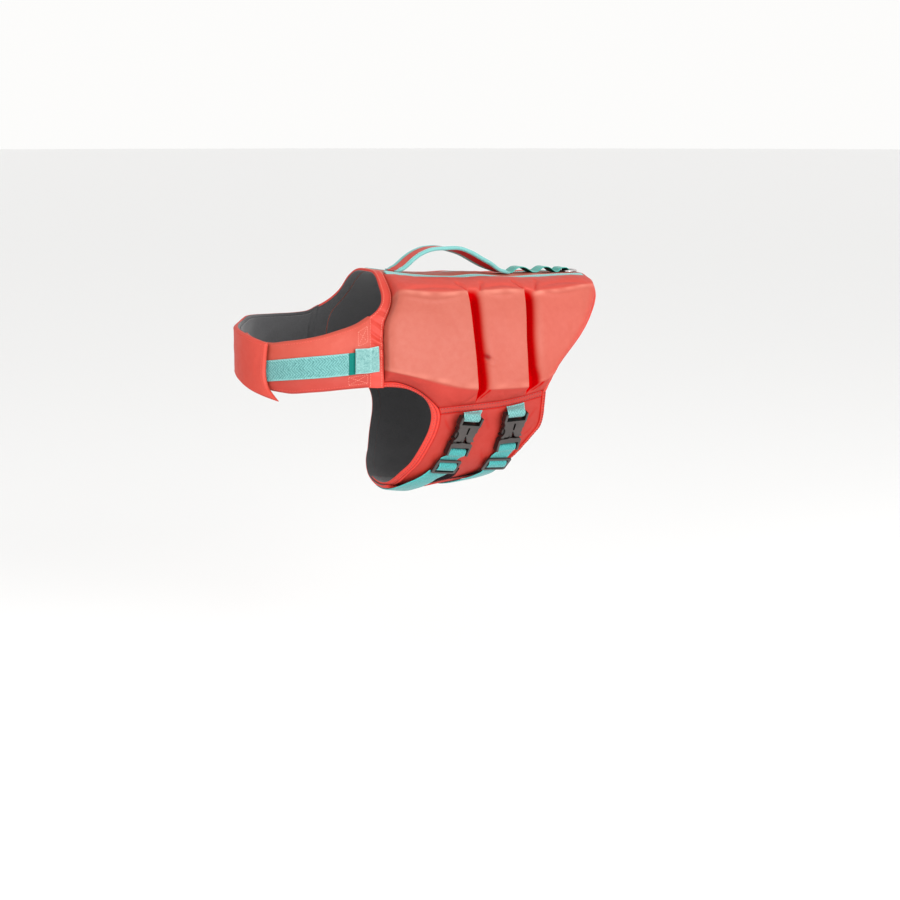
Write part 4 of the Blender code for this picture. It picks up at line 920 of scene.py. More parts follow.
def handle_part(name, y0, y1, high, mats, roll, steps_across):
    def surface(u, v, out):
        x, y = HANDLE.keys[0] + (HANDLE.keys[-1] - HANDLE.keys[0]) * u, y0 + (y1 - y0) * v
        edge = np.abs(2 * v - 1) ** roll
        if out:
            foot = 0.4 + 0.6 * ease(0, 0.05, u) * ease(0, 0.04, 1 - u)
            lift = high * foot * (1 - 0.42 * edge) + 0.12 * ripple(x, y, 18, 61)
        else:
            lift = 0.42 * high * edge
        return handle_point(x, y, lift), stacked(x, y)
    return wall(name, np.linspace(0, 1, 141), spread(steps_across, 0.7), surface, mats, sharp=80)


def lash_rows():
    x = np.linspace(LASH.keys[0], LASH.keys[-1], 120)
    z = np.maximum(LASH(x), 0.0)
    rows = [on(side, x, s, ON_BACK) + stacked(0 * x, 0 * x, z)
            for side, s in ((LEFT, LASH_HALF), (RIGHT, MIDDLE), (RIGHT, LASH_HALF))]
    slope = (LASH(x + 1) - LASH(x - 1)) / 2
    return np.stack(rows, 1), unit(stacked(-slope, 0 * x, 1 + 0 * x))


def closed_tube(name, path, up, wire, mat, sides=16):
    """A closed ring of round wire along a path whose sections stand on up."""
    n = len(path)
    way = unit(np.roll(path, -1, 0) - np.roll(path, 1, 0))
    side = unit(np.cross(way, up))
    out = np.cross(side, way)
    work = bmesh.new()
    bmesh.ops.create_grid(work, x_segments=n, y_segments=sides, size=0.5)
    for vert in work.verts:
        i, j = round((vert.co.x + 0.5) * n) % n, round((vert.co.y + 0.5) * sides) % sides
        turn = 2 * pi * j / sides
        vert.co = Vector((path[i] + wire * (cos(turn) * side[i] + sin(turn) * out[i])) * MM)
    bmesh.ops.remove_doubles(work, verts=work.verts, dist=1e-6)
    mesh = mesh_of(work, name)
    mesh.materials.append(mat)
    mesh.shade_smooth()
    return mesh


def ring_path():
    """The D of the ring in its own plane, from the straight side round its bow."""
    corner = 4.0
    y = RING_HALF - corner
    line = [(0, v) for v in np.linspace(-y, y, 15)]
    line += [(corner - corner * cos(t), y + corner * sin(t)) for t in np.linspace(0.26, pi / 2, 6)]
    line += [(5.5, RING_HALF), (7, RING_HALF)]
    line += [(7 + (RING_DEEP - 7) * sin(t), RING_HALF * cos(t)) for t in np.linspace(0.1, pi - 0.1, 40)]
    line += [(7, -RING_HALF), (5.5, -RING_HALF)]
    line += [(corner - corner * cos(t), -y - corner * sin(t)) for t in np.linspace(pi / 2, 0.26, 6)]
    pivot = on(RIGHT, RING_X, MIDDLE, ON_BACK + 0.3 + RING_WIRE)
    return np.array([(x, v, 0) for x, v in line]) + pivot


# ---------------------------------------------------------------- straps

# x of the middle of each belly strap, over s
STRAPS = {
    1: Curve([(199, -57.5), (209, -59), (218, -64), (284, -86), (292, -94), (299, -102), (306, -111),
              (315, -119), (330, -125), (346, -127)]),
    2: Curve([(192, 3.5), (203, 2.5), (210, -0.5), (290, -11), (300, -12.2), (308, -17.5), (317, -28),
              (326, -40), (336, -49.5), (346, -53.5)])}
STRAPS_RIGHT = {
    1: Curve([(206, -84), (235, -92), (265, -104), (293, -116), (320, -124), (346, -127)]),
    2: Curve([(198, -22), (230, -28), (262, -36), (292, -45), (320, -51), (346, -53.5)])}
# Middle of each buckle and slider, its way down the strap and its way across (squared up below)
BUCKLE = {1: ((-69.8, -84.3, -183.3), (-0.200, 0.400, -0.894), (0.986, 0.125, -0.109)),
          2: ((-2.3, -80.8, -183.7), (-0.030, 0.420, -0.907), (0.998, 0.062, -0.004))}
SLIDER = {1: ((-83.6, -65.2, -223.4), (-0.170, 0.601, -0.781), (0.985, 0.087, -0.148)),
          2: ((-9.0, -56.3, -228.4), (-0.100, 0.693, -0.714), (0.995, 0.056, -0.086))}
SLIDER_S = {1: 278.0, 2: 282.0}      # s where each slider lies
LONG = 1.2                           # length of the buckles, over their drawn outlines
PATCH_X, PATCH_LONG, PATCH_S, PATCH_DOWN = -103, 45, 290, 31


def strap_x(number, s, side=LEFT):
    """x of a belly strap's middle."""
    return (STRAPS if side == LEFT else STRAPS_RIGHT)[number](s)


def frame_of(middle, down, across):
    """A flat frame: its middle, and the ways across the strap, down it and out of it."""
    down = unit(np.array(down))
    across = np.array(across)
    across = -unit(across - down * down.dot(across))
    return np.array(middle), across, down, np.cross(across, down)


def spot(place, x, y, z):
    """A point of a flat frame: x across the strap, y down it and z out of it."""
    middle, across, down, out = place
    return middle + x * across + y * down + z * out


def drawn_path(path):
    """A path of (y, z) points through a buckle, at its real length."""
    return [(LONG * y, z) for y, z in path]


def held(place, path, half=WIDE / 2):
    """Rows of webbing through a buckle or slider, from (y, z) points of its underside, and their ways out."""
    rows, ups = [], []
    for k, (y, z) in enumerate(path):
        a, b = path[max(k - 1, 0)], path[min(k + 1, len(path) - 1)]
        dy, dz = b[0] - a[0], b[1] - a[1]
        rows.append([spot(place, x, y, z) for x in (half, 0, -half)])
        ups.append(unit(-dz * place[2] + dy * place[3]))
    return rows, ups


def laid(line, half=WIDE / 2):
    """Rows of webbing on the figure, from (side, x, s, lift) points; they turn round the belly's middle."""
    rows, ups = [], []
    for k, (side, x, s, lift) in enumerate(line):
        before, after = line[max(k - 1, 0)], line[min(k + 1, len(line) - 1)]
        va, vb = before[2], after[2]
        if before[0] != after[0]:
            vb = 2 * girth(x) - vb
        elif side == RIGHT:
            va, vb = -va, -vb
        dx, ds = after[1] - before[1], vb - va
        length = hypot(dx, ds)
        across = (ds / length, -dx / length * (1 if side == LEFT else -1))
        follow = ease(300, girth(x) - 20, s)
        row = []
        for t in (-1, 0, 1):
            px = x + across[0] * half * t
            row.append(on(side, px, s + across[1] * half * t + follow * (girth(px) - girth(x)), lift))
        rows.append(row)
        ups.append(outward(side, x, s))
    return rows, ups


def buckle_tab(number, mats):
    """Webbing from the seam over the socket's bar and down into its slot."""
    middle = float(strap_x(number, 206))
    x = middle + WIDE / 2 * np.array([-1.0, 0.0, 1.0])
    rows = [on(LEFT, x, low_edge(x) + below, FLAP + LAY + lift) for below, lift in ((9.2, 0.0), (10.8, 1.0))]
    ups = [outward(LEFT, middle, 206.0)] * 2
    bent = held(frame_of(*BUCKLE[number]),
                drawn_path([(-24.2, -1.4), (-22.4, 0.7), (-19.4, 0.8), (-17.9, -0.6), (-17.7, -3.0)]))
    return ribbon(f"buckle_tab_{number}_web", rows + bent[0], ups + bent[1], WEB, mats, 46)


def belly_strap(number, mats):
    """From the prong half's bar through the slider, under the belly to the right side's seam."""
    mid = SLIDER_S[number]
    first = held(frame_of(*BUCKLE[number]),
                 drawn_path([(17.2, -1.6), (17.4, 0.6), (18.6, 1.1), (22.4, 1.1), (24.0, -0.6)]))
    second = held(frame_of(*SLIDER[number]),
                  [(-12.0, -3.6), (-8.6, -3.6), (-5.6, -2.0), (-3.2, 1.2), (0, 1.7),
                   (3.2, 1.2), (5.6, -2.0), (8.6, -3.6), (12.0, -3.3)])
    over, flat = RISE + FLAP + (1.4 if number == 1 else 0.9), FLAP + 1.5
    full = float(girth(strap_x(number, 346)))
    line = []
    for s in (mid + 15, mid + 18, *np.linspace(mid + 22, full - OVER - 12, 5)):
        climb = float(ease(full - OVER - 34, full - OVER - 16, s))
        line.append((LEFT, float(strap_x(number, s)), s, flat + 0.6 + (over - flat - 0.6) * climb))
    line += [(LEFT, float(strap_x(number, s)), s, over) for s in np.linspace(full - OVER - 4, full - 3, 4)]
    for s in np.linspace(full - 10, full - UNDER - 14, 7):
        lift = flat + (over - flat) * float(ease(full - UNDER - 12, full - OVER - 4, s))
        line.append((RIGHT, float(strap_x(number, s, RIGHT)), s, lift))
    seam = float(low_edge(strap_x(number, 200, RIGHT))) + 6.5
    for s in np.linspace(full - UNDER - 26, seam, 8):
        line.append((RIGHT, float(strap_x(number, s, RIGHT)), s, FLAP + LAY + 0.6))
    third = laid(line)
    return ribbon(f"belly_strap_{number}_web", first[0] + second[0] + third[0], first[1] + second[1] + third[1],
                  WEB, mats, 330)


def loop_patch(mats):
    def surface(u, v, out):
        x, s = PATCH_X + PATCH_LONG * u, PATCH_S + PATCH_DOWN * v
        return on(LEFT, x, s, FLAP + LAY + (0.6 if out else -0.1)), stacked(x, s)
    return wall("loop_patch_cloth", np.linspace(0, 1, 41), np.linspace(0, 1, 31), surface, mats)


# ---------------------------------------------------------------- sewing

def skin_point(name, u, v):
    """Points of a wall's outer side, and the ways out of it there."""
    surface, e = SKIN[name], 1e-3

    def outer(u, v):
        return surface(u, v, True)[0]
    p = outer(u, v)
    n = unit(np.cross(outer(u + e, v) - outer(u - e, v),
                      outer(u, np.clip(v + e, 0, 1)) - outer(u, np.clip(v - e, 0, 1))))
    return p, n * np.sign(np.einsum("ij,ij->i", n, p - surface(u, v, False)[0]))[:, None]


def sewn(name, lines, mat, pitch, long, wide, high):
    """Stitches of a size and pitch along lines of (wall, points of (u, v)), as one mesh."""
    work = bmesh.new()
    bmesh.ops.create_uvsphere(work, u_segments=6, v_segments=4, radius=1)
    work.verts.ensure_lookup_table()
    shape = np.array([v.co for v in work.verts])
    shape[:, 0] = np.sign(shape[:, 0]) * np.abs(shape[:, 0]) ** 0.7
    faces = [[v.index for v in f.verts] for f in work.faces]
    work.free()
    verts, count, all_faces = [], 0, []
    for wall_name, points in lines:
        uv = resample(points, 160)
        p, n = skin_point(wall_name, uv[:, 0], uv[:, 1])
        run = run_of(p)
        total = max(int(run[-1] / pitch), 1)
        where = (np.arange(total) + 0.5) * run[-1] / total
        here, out = between_points(run, p, where), unit(between_points(run, n, where))
        way = unit(between_points(run, p, where + 0.5) - between_points(run, p, where - 0.5))
        side = unit(np.cross(out, way))
        for c, w, sd, o in zip(here, way, side, out):
            verts.append(c + o * 0.06 + shape[:, :1] * w * long / 2 + shape[:, 1:2] * sd * wide / 2
                         + shape[:, 2:] * o * high)
            all_faces += [[i + count for i in f] for f in faces]
            count += len(shape)
    mesh = bpy.data.meshes.new(name)
    mesh.from_pydata((np.concatenate(verts) * MM).tolist(), [], all_faces)
    mesh.materials.append(mat)
    mesh.shade_smooth()
    return show(name, mesh)


# ---------------------------------------------------------------- materials

def rgb(colour):
    """A colour as a socket takes it; a node's output stays as it is."""
    return (*colour, 1.0) if isinstance(colour, tuple) else colour


def times(colour, factor):
    return tuple(min(1, c * factor) for c in colour)


class Paint:
    """A material whose shader has a plain colour until its nodes are added."""

    def __init__(self, name, base):
        self.mat = bpy.data.materials.new(name)
        self.mat.use_nodes = True
        self.main = self.mat.node_tree.nodes["Principled BSDF"]
        self.main.inputs["Base Color"].default_value = rgb(base)

    def fill(self, socket, value):
        """Links another node's output to a socket, or sets the socket."""
        if isinstance(value, bpy.types.NodeSocket):
            self.mat.node_tree.links.new(value, socket)
        else:
            socket.default_value = value

    def node(self, kind, inputs=None, **settings):
        """A node with its settings, and its inputs by name or number."""
        node = self.mat.node_tree.nodes.new("ShaderNode" + kind)
        for key, value in settings.items():
            setattr(node, key, value)
        for key, value in (inputs or {}).items():
            self.fill(node.inputs[key], value)
        return node

    def reckon(self, operation, a, b=0.0, c=0.0, clamp=False):
        return self.node("Math", {0: a, 1: b, 2: c}, operation=operation, use_clamp=clamp).outputs[0]

    def product(self, a, b):
        return self.reckon("MULTIPLY", a, b)

    def mix(self, share, a, b):
        return self.node("Mix", {0: share, 6: rgb(a), 7: rgb(b)}, data_type="RGBA").outputs[2]

    def noise(self, vector, scale, detail=4.0, rough=0.5):
        return self.node("TexNoise", {"Vector": vector, "Scale": scale, "Detail": detail,
                                      "Roughness": rough}).outputs["Fac"]

    def spans(self, value, low, high, to_low=0.0, to_high=1.0):
        return self.node("MapRange", {"Value": value, "From Min": low, "From Max": high,
                                      "To Min": to_low, "To Max": to_high}).outputs[0]

    def waves(self, value, period):
        return self.reckon("SINE", self.product(value, 2 * pi / period))

    def painted(self, name):
        return self.node("Attribute", attribute_name=name).outputs["Fac"]

    def cloth(self):
        """The two ways of the cloth in metres, from its own coordinates."""
        return self.node("SeparateXYZ", {0: self.node("UVMap", uv_map="cloth").outputs[0]}).outputs[:2]

    def where(self):
        return self.node("TexCoord").outputs["Object"]

    def finish(self, colour, height, strength, distance, **shader):
        """Fills the shader's colour, relief and other sockets."""
        relief = self.node("Bump", {"Height": height, "Strength": strength, "Distance": distance})
        for key, value in {"Base Color": colour, "Normal": relief.outputs[0], **shader}.items():
            self.fill(self.main.inputs[key.replace("_", " ")], value)
        return self.mat


SHADED_RED = (0.47, 0.044, 0.028)        # painted shade: the redder colour where the cloth is less lit
GROOVE_SHADE = (0.42, 0.0, 0.001)          # painted shade: deep red in the grooves, at seams and along folds
CREASE_HIGHLIGHT = (0.80, 0.30, 0.22)          # painted highlight: pale red along the creases
NYLON_PITCH = 0.0011


def nylon(name, base, dark_and_shade, pale, rough):
    """Tight woven nylon: a fine plain weave, soft unevenness of colour and a satin face.

    The points of a mesh may carry painted light and shade: a painted highlight along its creases, a redder
    colour where it is less lit, painted shade towards black, and deep red painted shade in grooves, at seams
    and along folds.
    """
    p = Paint(name, base)
    (u, v), where = p.cloth(), p.where()
    weave = p.product(p.waves(u, NYLON_PITCH), p.waves(v, NYLON_PITCH))
    cloudy = p.spans(p.noise(where, 8.0, 2.0), 0.36, 0.64)
    fine = p.spans(p.noise(where, 150.0, 4.0, 0.6), 0.3, 0.7)
    # Painted shade in grooves, at seams and along folds: the colour turns deep red, and the cloth is rougher
    # with less specular there.
    groove = p.painted("dark_and_shade")
    colour = p.mix(cloudy, base, pale)
    for share, other in ((p.painted("less_lit"), SHADED_RED),
                         (p.spans(fine, 0.0, 1.0, 0.0, 0.16), dark_and_shade),
                         (p.spans(weave, -1.0, 1.0, 0.12, 0.0), dark_and_shade),
                         (p.product(p.painted("crease_highlight"), 0.3), CREASE_HIGHLIGHT),
                         (p.painted("painted_shade"), (0.0, 0.0, 0.0)),
                         (groove, GROOVE_SHADE)):
        colour = p.mix(share, colour, other)
    height = p.reckon("MULTIPLY_ADD", p.noise(where, 19.0, 3.0), 1.6, p.product(weave, 0.10))
    gloss = p.reckon("ADD", p.spans(fine, 0.0, 1.0, rough - 0.03, rough + 0.05), p.product(groove, 0.3))
    return p.finish(colour, height, 0.30, 0.0005, Roughness=gloss,
                    Specular_IOR_Level=p.spans(groove, 0.0, 1.0, 0.42, 0.0))


def webbing(name, dark, light, edge_half, period=0.0034, strong=0.5):
    """Herringbone webbing: slanting ribs that turn at the middle, small picks and paler selvages."""
    p = Paint(name, light)
    (u, v), where = p.cloth(), p.where()
    away = p.reckon("ABSOLUTE", v)
    rib = p.waves(p.reckon("ADD", u, p.reckon("PINGPONG", away, 0.0063)), period)
    pick = p.product(p.waves(p.reckon("SUBTRACT", u, v), 0.0009), p.waves(v, 0.0012))
    speck = p.spans(p.noise(where, 520.0, 3.0, 0.75), 0.3, 0.7)
    share = p.reckon("ADD", p.product(p.spans(rib, -1, 1), strong), p.product(speck, 0.75), clamp=True)
    rim = p.spans(away, edge_half - 0.0014, edge_half - 0.0004)
    colour = p.mix(p.product(rim, 0.5), p.mix(share, dark, light), times(light, 1.35))
    return p.finish(colour, p.reckon("MULTIPLY_ADD", rib, 0.5, p.product(pick, 0.28)), 0.5, 0.0003,
                    Roughness=0.62, Sheen_Weight=0.25, Sheen_Roughness=0.5, Specular_IOR_Level=0.35)


def tape(name, dark, light, sheen=0.25):
    """Narrow plain tape with fine cross ribs."""
    p = Paint(name, light)
    u, v = p.cloth()
    rib, rows = p.waves(u, 0.0011), p.waves(v, 0.0014)
    speck = p.noise(p.where(), 700.0, 2.0, 0.7)
    share = p.reckon("ADD", p.product(p.spans(rib, -1, 1), 0.35), p.product(speck, 0.7), clamp=True)
    return p.finish(p.mix(share, dark, light), p.reckon("MULTIPLY_ADD", rib, 0.5, p.product(rows, 0.2)), 0.4,
                    0.0002, Roughness=0.6, Sheen_Weight=sheen, Sheen_Roughness=0.5,
                    Specular_IOR_Level=0.1 + sheen)


def knitted(name, dark, light, hole=0.0024, sheen=0.35):
    """Open knitted mesh with small holes in offset rows."""
    p = Paint(name, dark)
    u, v = p.cloth()
    holes = p.product(*(p.waves(p.reckon(way, u, v), hole) for way in ("ADD", "SUBTRACT")))
    fuzz = p.noise(p.where(), 500.0, 3.0)
    colour = p.mix(p.product(p.spans(holes, -0.2, 0.6), fuzz), dark, light)
    return p.finish(colour, p.reckon("ADD", holes, fuzz), 0.5, 0.0003, Roughness=0.82, Sheen_Weight=sheen,
                    Sheen_Roughness=0.6, Specular_IOR_Level=0.05 + 0.6 * sheen)


def moulded(name, base, scuffed, outwards):
    """Moulded acetal with a fine spark grain; the faces that don't look outwards are painted darker, as painted
    shade.
    """
    p = Paint(name, base)
    where = p.where()
    worn = p.spans(p.noise(where, 45.0, 5.0, 0.65), 0.42, 0.72)
    shade_by_facing = p.node("VectorMath", {0: p.node("NewGeometry").outputs["Normal"], 1: outwards},
                    operation="DOT_PRODUCT").outputs["Value"]
    colour = p.mix(p.spans(shade_by_facing, 0.84, 0.97), times(base, 0.25), p.mix(p.product(worn, 0.5), base, scuffed))
    return p.finish(colour, p.noise(where, 1500.0, 2.0, 0.6), 0.18, 0.0001,
                    Roughness=p.spans(worn, 0.0, 1.0, 0.28, 0.42), Specular_IOR_Level=0.5)


# Steel tinted a little pink, as painted reflection of the coral cloth round the ring; the darker stains vary at
# random.
def steel(name, clear, stained):
    p = Paint(name, clear)
    where = p.where()
    stain = p.spans(p.noise(where, 120.0, 5.0, 0.6), 0.35, 0.7)
    return p.finish(p.mix(stain, clear, stained), p.noise(where, 1800.0, 2.0), 0.1, 0.0001, Metallic=1.0,
                    Roughness=p.spans(stain, 0, 1, 0.24, 0.38))


def thread(name, base):
    p = Paint(name, base)
    twist = p.noise(p.where(), 2200.0, 2.0)
    return p.finish(p.mix(twist, times(base, 0.8), times(base, 1.2)), twist, 0.3, 0.0001, Roughness=0.55,
                    Sheen_Weight=0.2)


CORAL = nylon("coral_nylon", (0.378, 0.081, 0.051), (0.32, 0.038, 0.023), (0.408, 0.099, 0.065), 0.58)
CORAL_DEEP = nylon("coral_band_nylon", (0.49, 0.038, 0.022), (0.41, 0.016, 0.009), (0.53, 0.048, 0.030), 0.56)
# Copies of the cloth with painted shading, each toned to how its piece is lit: the armhole bands, the collar's
# left part and the chest flap.
CORAL_ARM_SHADING = nylon("coral_arm_shading_nylon", (0.53, 0.028, 0.016), (0.44, 0.013, 0.007), (0.57, 0.038, 0.022), 0.56)
CORAL_COLLAR_SHADING = nylon("coral_collar_shading_nylon", (0.42, 0.050, 0.027), (0.36, 0.024, 0.012), (0.45, 0.062, 0.036),
                     0.58)
CORAL_CHEST_SHADING = nylon("coral_chest_shading_nylon", (0.47, 0.040, 0.022), (0.40, 0.020, 0.010), (0.50, 0.050, 0.030), 0.58)
# Painted shade: darker copies of the cloth for the handle's underside and for the belly flaps, which are less
# lit.
CORAL_UNDER_SHADED = nylon("coral_under_shaded_nylon", (0.52, 0.004, 0.008), (0.44, 0.0, 0.002), (0.56, 0.008, 0.010), 0.60)
CORAL_BELLY_SHADED = nylon("coral_belly_shaded_nylon", (0.36, 0.018, 0.009), (0.30, 0.008, 0.004), (0.39, 0.026, 0.015), 0.60)
BACKING = knitted("dark_spacer_mesh", (0.022, 0.022, 0.024), (0.085, 0.085, 0.09))
AQUA = webbing("aqua_webbing", (0.008, 0.105, 0.103), (0.155, 0.39, 0.375), WIDE / 2 * MM)
AQUA_BELLY = webbing("aqua_belly_webbing", (0.002, 0.128, 0.124), (0.040, 0.335, 0.325), WIDE / 2 * MM)
AQUA_TAPE = tape("aqua_tape", (0.07, 0.30, 0.285), (0.20, 0.47, 0.45))
AQUA_LASH = webbing("aqua_lash_webbing", (0.002, 0.18, 0.145), (0.04, 0.37, 0.31), LASH_HALF * MM, 0.0028)
# Painted shade: a dark green copy of the lash webbing for the underside of its loops.
LASH_UNDER_SHADE = tape("lash_under_shade_webbing", (0.0, 0.045, 0.032), (0.0, 0.10, 0.072), 0.0)
PALE = webbing("pale_aqua_webbing", (0.020, 0.145, 0.14), (0.25, 0.46, 0.44), 0.0142, 0.0019, 0.3)
# Painted shade: a dark teal copy of the webbing for the stretch that passes under the collar's end tab.
TEAL_SHADE = tape("teal_shade_webbing", (0.0, 0.10, 0.08), (0.0, 0.18, 0.15), 0.0)
LOOP = knitted("dark_loop_pile", (0.006, 0.002, 0.004), (0.030, 0.010, 0.016), 0.0012, 0.0)
# The buckles' and sliders' common way out; their other faces get painted shade.
PLASTIC = moulded("grey_acetal", (0.036, 0.030, 0.028), (0.067, 0.055, 0.050), (0.03, -0.85, -0.53))
METAL = steel("ring_steel", (0.62, 0.58, 0.58), (0.42, 0.37, 0.37))
THREAD = thread("coral_thread", (0.60, 0.045, 0.03))
THREAD_DARK = thread("dark_red_thread", (0.17, 0.005, 0.005))
THREAD_PALE = thread("pale_coral_thread", (0.86, 0.36, 0.27))
THREAD_AQUA = thread("aqua_thread", (0.42, 0.72, 0.70))


# ---------------------------------------------------------------- dressing the jacket


def put(obj, slot, *nodes):
    """Hides the solids that a piece replaces, by their nodes; the slot is not used."""
    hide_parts(*nodes)
    return obj


HANDS = ("left", LEFT), ("right", RIGHT)
for hand, side in HANDS:
    for make, part, slot, cloth in ((side_panel, "side_panel", "coral_cloth", CORAL),
                                    (belly_flap, "belly_flap", "coral_cloth", CORAL_BELLY_SHADED),
                                    (arm_band, "arm_band", "band_cloth", CORAL_ARM_SHADING),
                                    (hem_band, "hem_band", "band_cloth", CORAL_DEEP)):
        put(make(f"{part}_{hand}_cloth", side, [cloth, BACKING]), slot, f"{part}_{hand}")
    x = np.linspace(-147, 130, 90)
    rows = np.stack([on(side, x, s, EDGE + LAY + 0.35) for s in (23.6, 27.7, 31.8)], 1)
    put(ribbon(f"spine_tape_{hand}_tape", rows, outward(side, x, 27.7), 1.3, [AQUA_TAPE], 230, 12, 8),
        "aqua_webbing", f"spine_tape_{hand}")
put(spine_panel([CORAL, BACKING]), "coral_cloth", "spine_panel")
put(neck_band([CORAL_DEEP, BACKING]), "band_cloth", "neck_band")
put(rear_binding([CORAL_DEEP]), "band_cloth", "rear_binding")
put(collar_left([CORAL_COLLAR_SHADING, BACKING]), "coral_cloth", "collar_left")
put(collar_right([CORAL_CHEST_SHADING, BACKING]), "coral_cloth", "collar_right")
put(collar_lining([BACKING]), "dark_lining", "collar_lining")


def web_tops(a):
    """Heights of the two edges of the collar's webbing."""
    return at(WEB_ON, "a", "top", a), at(WEB_ON, "a", "low", a)


rows, ups = collar_strip(15.4, 67, web_tops, LAY, 60)
put(ribbon("collar_web", rows, ups, WEB, [AQUA], 150), "aqua_webbing", "collar_webbing")
# The stretch of webbing under the end tab: dark teal, as painted shade.
rows, ups = collar_strip(11.6, 15.2, web_tops, LAY, 6)
put(ribbon("collar_web_fold", rows, ups, WEB - 0.4, [TEAL_SHADE], 8), "dark_teal_fold", "collar_fold")
rows, ups = collar_strip(12.5, 6.4, lambda a: (-68.7 + 0 * a, -97.5 + 0 * a), TAB_LIFT, 8)
for x, top, low, lift in ((-190.4, 124.9, 152.4, 1.5), (-182.8, 124.1, 152.2, LAY)):
    height = at(SEAM_LINE, "so", "thick", 138) + lift
    rows = np.concatenate([rows, on(LEFT, x, np.array([top, (top + low) / 2, low]), height)[None]])
    ups = np.concatenate([ups, outward(LEFT, x, 138.0)[None]])
put(ribbon("collar_tab", rows, ups, TAB_THICK, [PALE], 60), "pale_webbing", "collar_end_tab")

inside = HANDLE_HALF - HANDLE_TAPE
for name, node, y0, y1, high, mats, slot, roll, across in (
        ("handle_middle", "handle", -inside + SEAM / 2, inside - SEAM / 2, HANDLE_THICK,
         [CORAL_DEEP, CORAL_UNDER_SHADED], "coral_cloth", 12, 16),
        ("handle_tape_left_tape", "handle_tape_left", -HANDLE_HALF, -inside - SEAM / 2, HANDLE_THICK + 0.3,
         [AQUA_TAPE], "aqua_webbing", 6, 12),
        ("handle_tape_right_tape", "handle_tape_right", inside + SEAM / 2, HANDLE_HALF, HANDLE_THICK + 0.3,
         [AQUA_TAPE], "aqua_webbing", 6, 12)):
    put(handle_part(name, y0, y1, high, mats, roll, across), slot, node)
put(ribbon("lash_web", *lash_rows(), 1.5, [AQUA_LASH, LASH_UNDER_SHADE], 200), "aqua_webbing", "lash_webbing")
ring = closed_tube("d_ring_wire", ring_path(), np.array([0.0, 0.0, 1.0]), RING_WIRE, METAL)
put(show("d_ring_wire", ring, "d_ring"), "ring_metal", "d_ring")
for number in (1, 2):
    put(buckle_tab(number, [AQUA]), "aqua_webbing", f"buckle_tab_{number}")
    put(belly_strap(number, [AQUA_BELLY]), "aqua_webbing", f"belly_strap_{number}")
put(loop_patch([LOOP]), "dark_loop_patch", "loop_patch")

# Sewing: each row runs over one wall, between places across (u) and along (v) it
ROWS = {
    "arm": [(0.005, 0.27, 0.995, 0.27), (0.005, 0.62, 0.995, 0.62)],
    "hem": [(0.005, 0.30, 0.995, 0.30), (0.005, 0.74, 0.995, 0.74)],
    "tape": [(0.004, 0.13, 0.996, 0.13), (0.004, 0.87, 0.996, 0.87)],
    "neck": [(-0.995, 0.16, 0.995, 0.16), (-0.995, 0.82, 0.995, 0.82)],
    "rim": [(0.01, 0.055, 0.99, 0.055), (0.01, 0.945, 0.99, 0.945)]}


def rows_on(wall_name, rows):
    """Straight rows on a wall, from their (u0, v0, u1, v1)."""
    return [(wall_name, np.array([(u0, v0), ((u0 + u1) / 2, (v0 + v1) / 2), (u1, v1)]))
            for u0, v0, u1, v1 in rows]


def box_on(wall_name, u0, v0, u1, v1, crossed=True):
    """The rows of a sewn box, with or without its cross."""
    corners = [(u0, v0, u1, v0), (u1, v0, u1, v1), (u1, v1, u0, v1), (u0, v1, u0, v0)]
    return rows_on(wall_name, corners + ([(u0, v0, u1, v1), (u0, v1, u1, v0)] if crossed else []))


for hand, _ in HANDS:
    for part in ("arm", "hem"):
        sewn(f"stitches_{part}_{hand}", rows_on(f"{part}_band_{hand}_cloth", ROWS[part]),
             THREAD_DARK, 3.6, 2.2, 0.9, 0.4)
    flap = f"belly_flap_{hand}_cloth"
    sewn(f"stitches_seam_{hand}", rows_on(flap, [(0.01, 0.012, 0.99, 0.012), (0.01, 0.040, 0.99, 0.040)]),
         THREAD_DARK, 3.8, 2.3, 1.3, 0.5)
    sewn(f"stitches_tape_{hand}", rows_on(f"spine_tape_{hand}_tape", ROWS["tape"]),
         THREAD_AQUA, 2.8, 2.0, 0.45, 0.25)
sewn("stitches_neck", rows_on("neck_band_cloth", ROWS["neck"]), THREAD_PALE, 3.2, 1.7, 0.5, 0.3)
sewn("stitches_rear", rows_on("rear_binding_cloth", [(-0.995, 0.3, 0.995, 0.3)]), THREAD, 3.0, 2.0, 0.5, 0.3)
sewn("stitches_collar", rows_on("collar_left_cloth", ROWS["rim"]) + rows_on("collar_right_cloth", ROWS["rim"])
     + rows_on("collar_right_cloth", [(0.022, 0.06, 0.022, 0.94), (0.985, 0.06, 0.985, 0.94)])
     + rows_on("collar_left_cloth", [(0.014, 0.08, 0.014, 0.92)]), THREAD, 3.2, 2.2, 0.5, 0.3)
sewn("stitches_boxes", box_on("collar_left_cloth", 0.012, 0.12, 0.060, 0.34)
     + box_on("collar_left_cloth", 0.012, 0.80, 0.110, 0.93), THREAD_PALE, 2.4, 1.6, 0.4, 0.24)
sewn("stitches_webbing", rows_on("collar_web", [(0.01, 0.06, 0.90, 0.06), (0.01, 0.94, 0.90, 0.94)])
     + box_on("collar_tab", 0.62, 0.08, 0.94, 0.92, False)
     + [line for number in (1, 2) for line in box_on(f"belly_strap_{number}_web", 0.925, 0.12, 0.99, 0.88)]
     + [line for number in (1, 2) for line in rows_on(f"buckle_tab_{number}_web", [(0.06, 0.08, 0.06, 0.92)])],
     THREAD_AQUA, 2.4, 1.8, 0.42, 0.24)
sewn("stitches_lash", rows_on("lash_web", [(place, 0.1, place, 0.9) for place in
                                           (0.015, 0.335, 0.355, 0.375, 0.66, 0.685, 0.71, 0.955, 0.975)]),
     THREAD_AQUA, 1.6, 1.3, 0.45, 0.26)
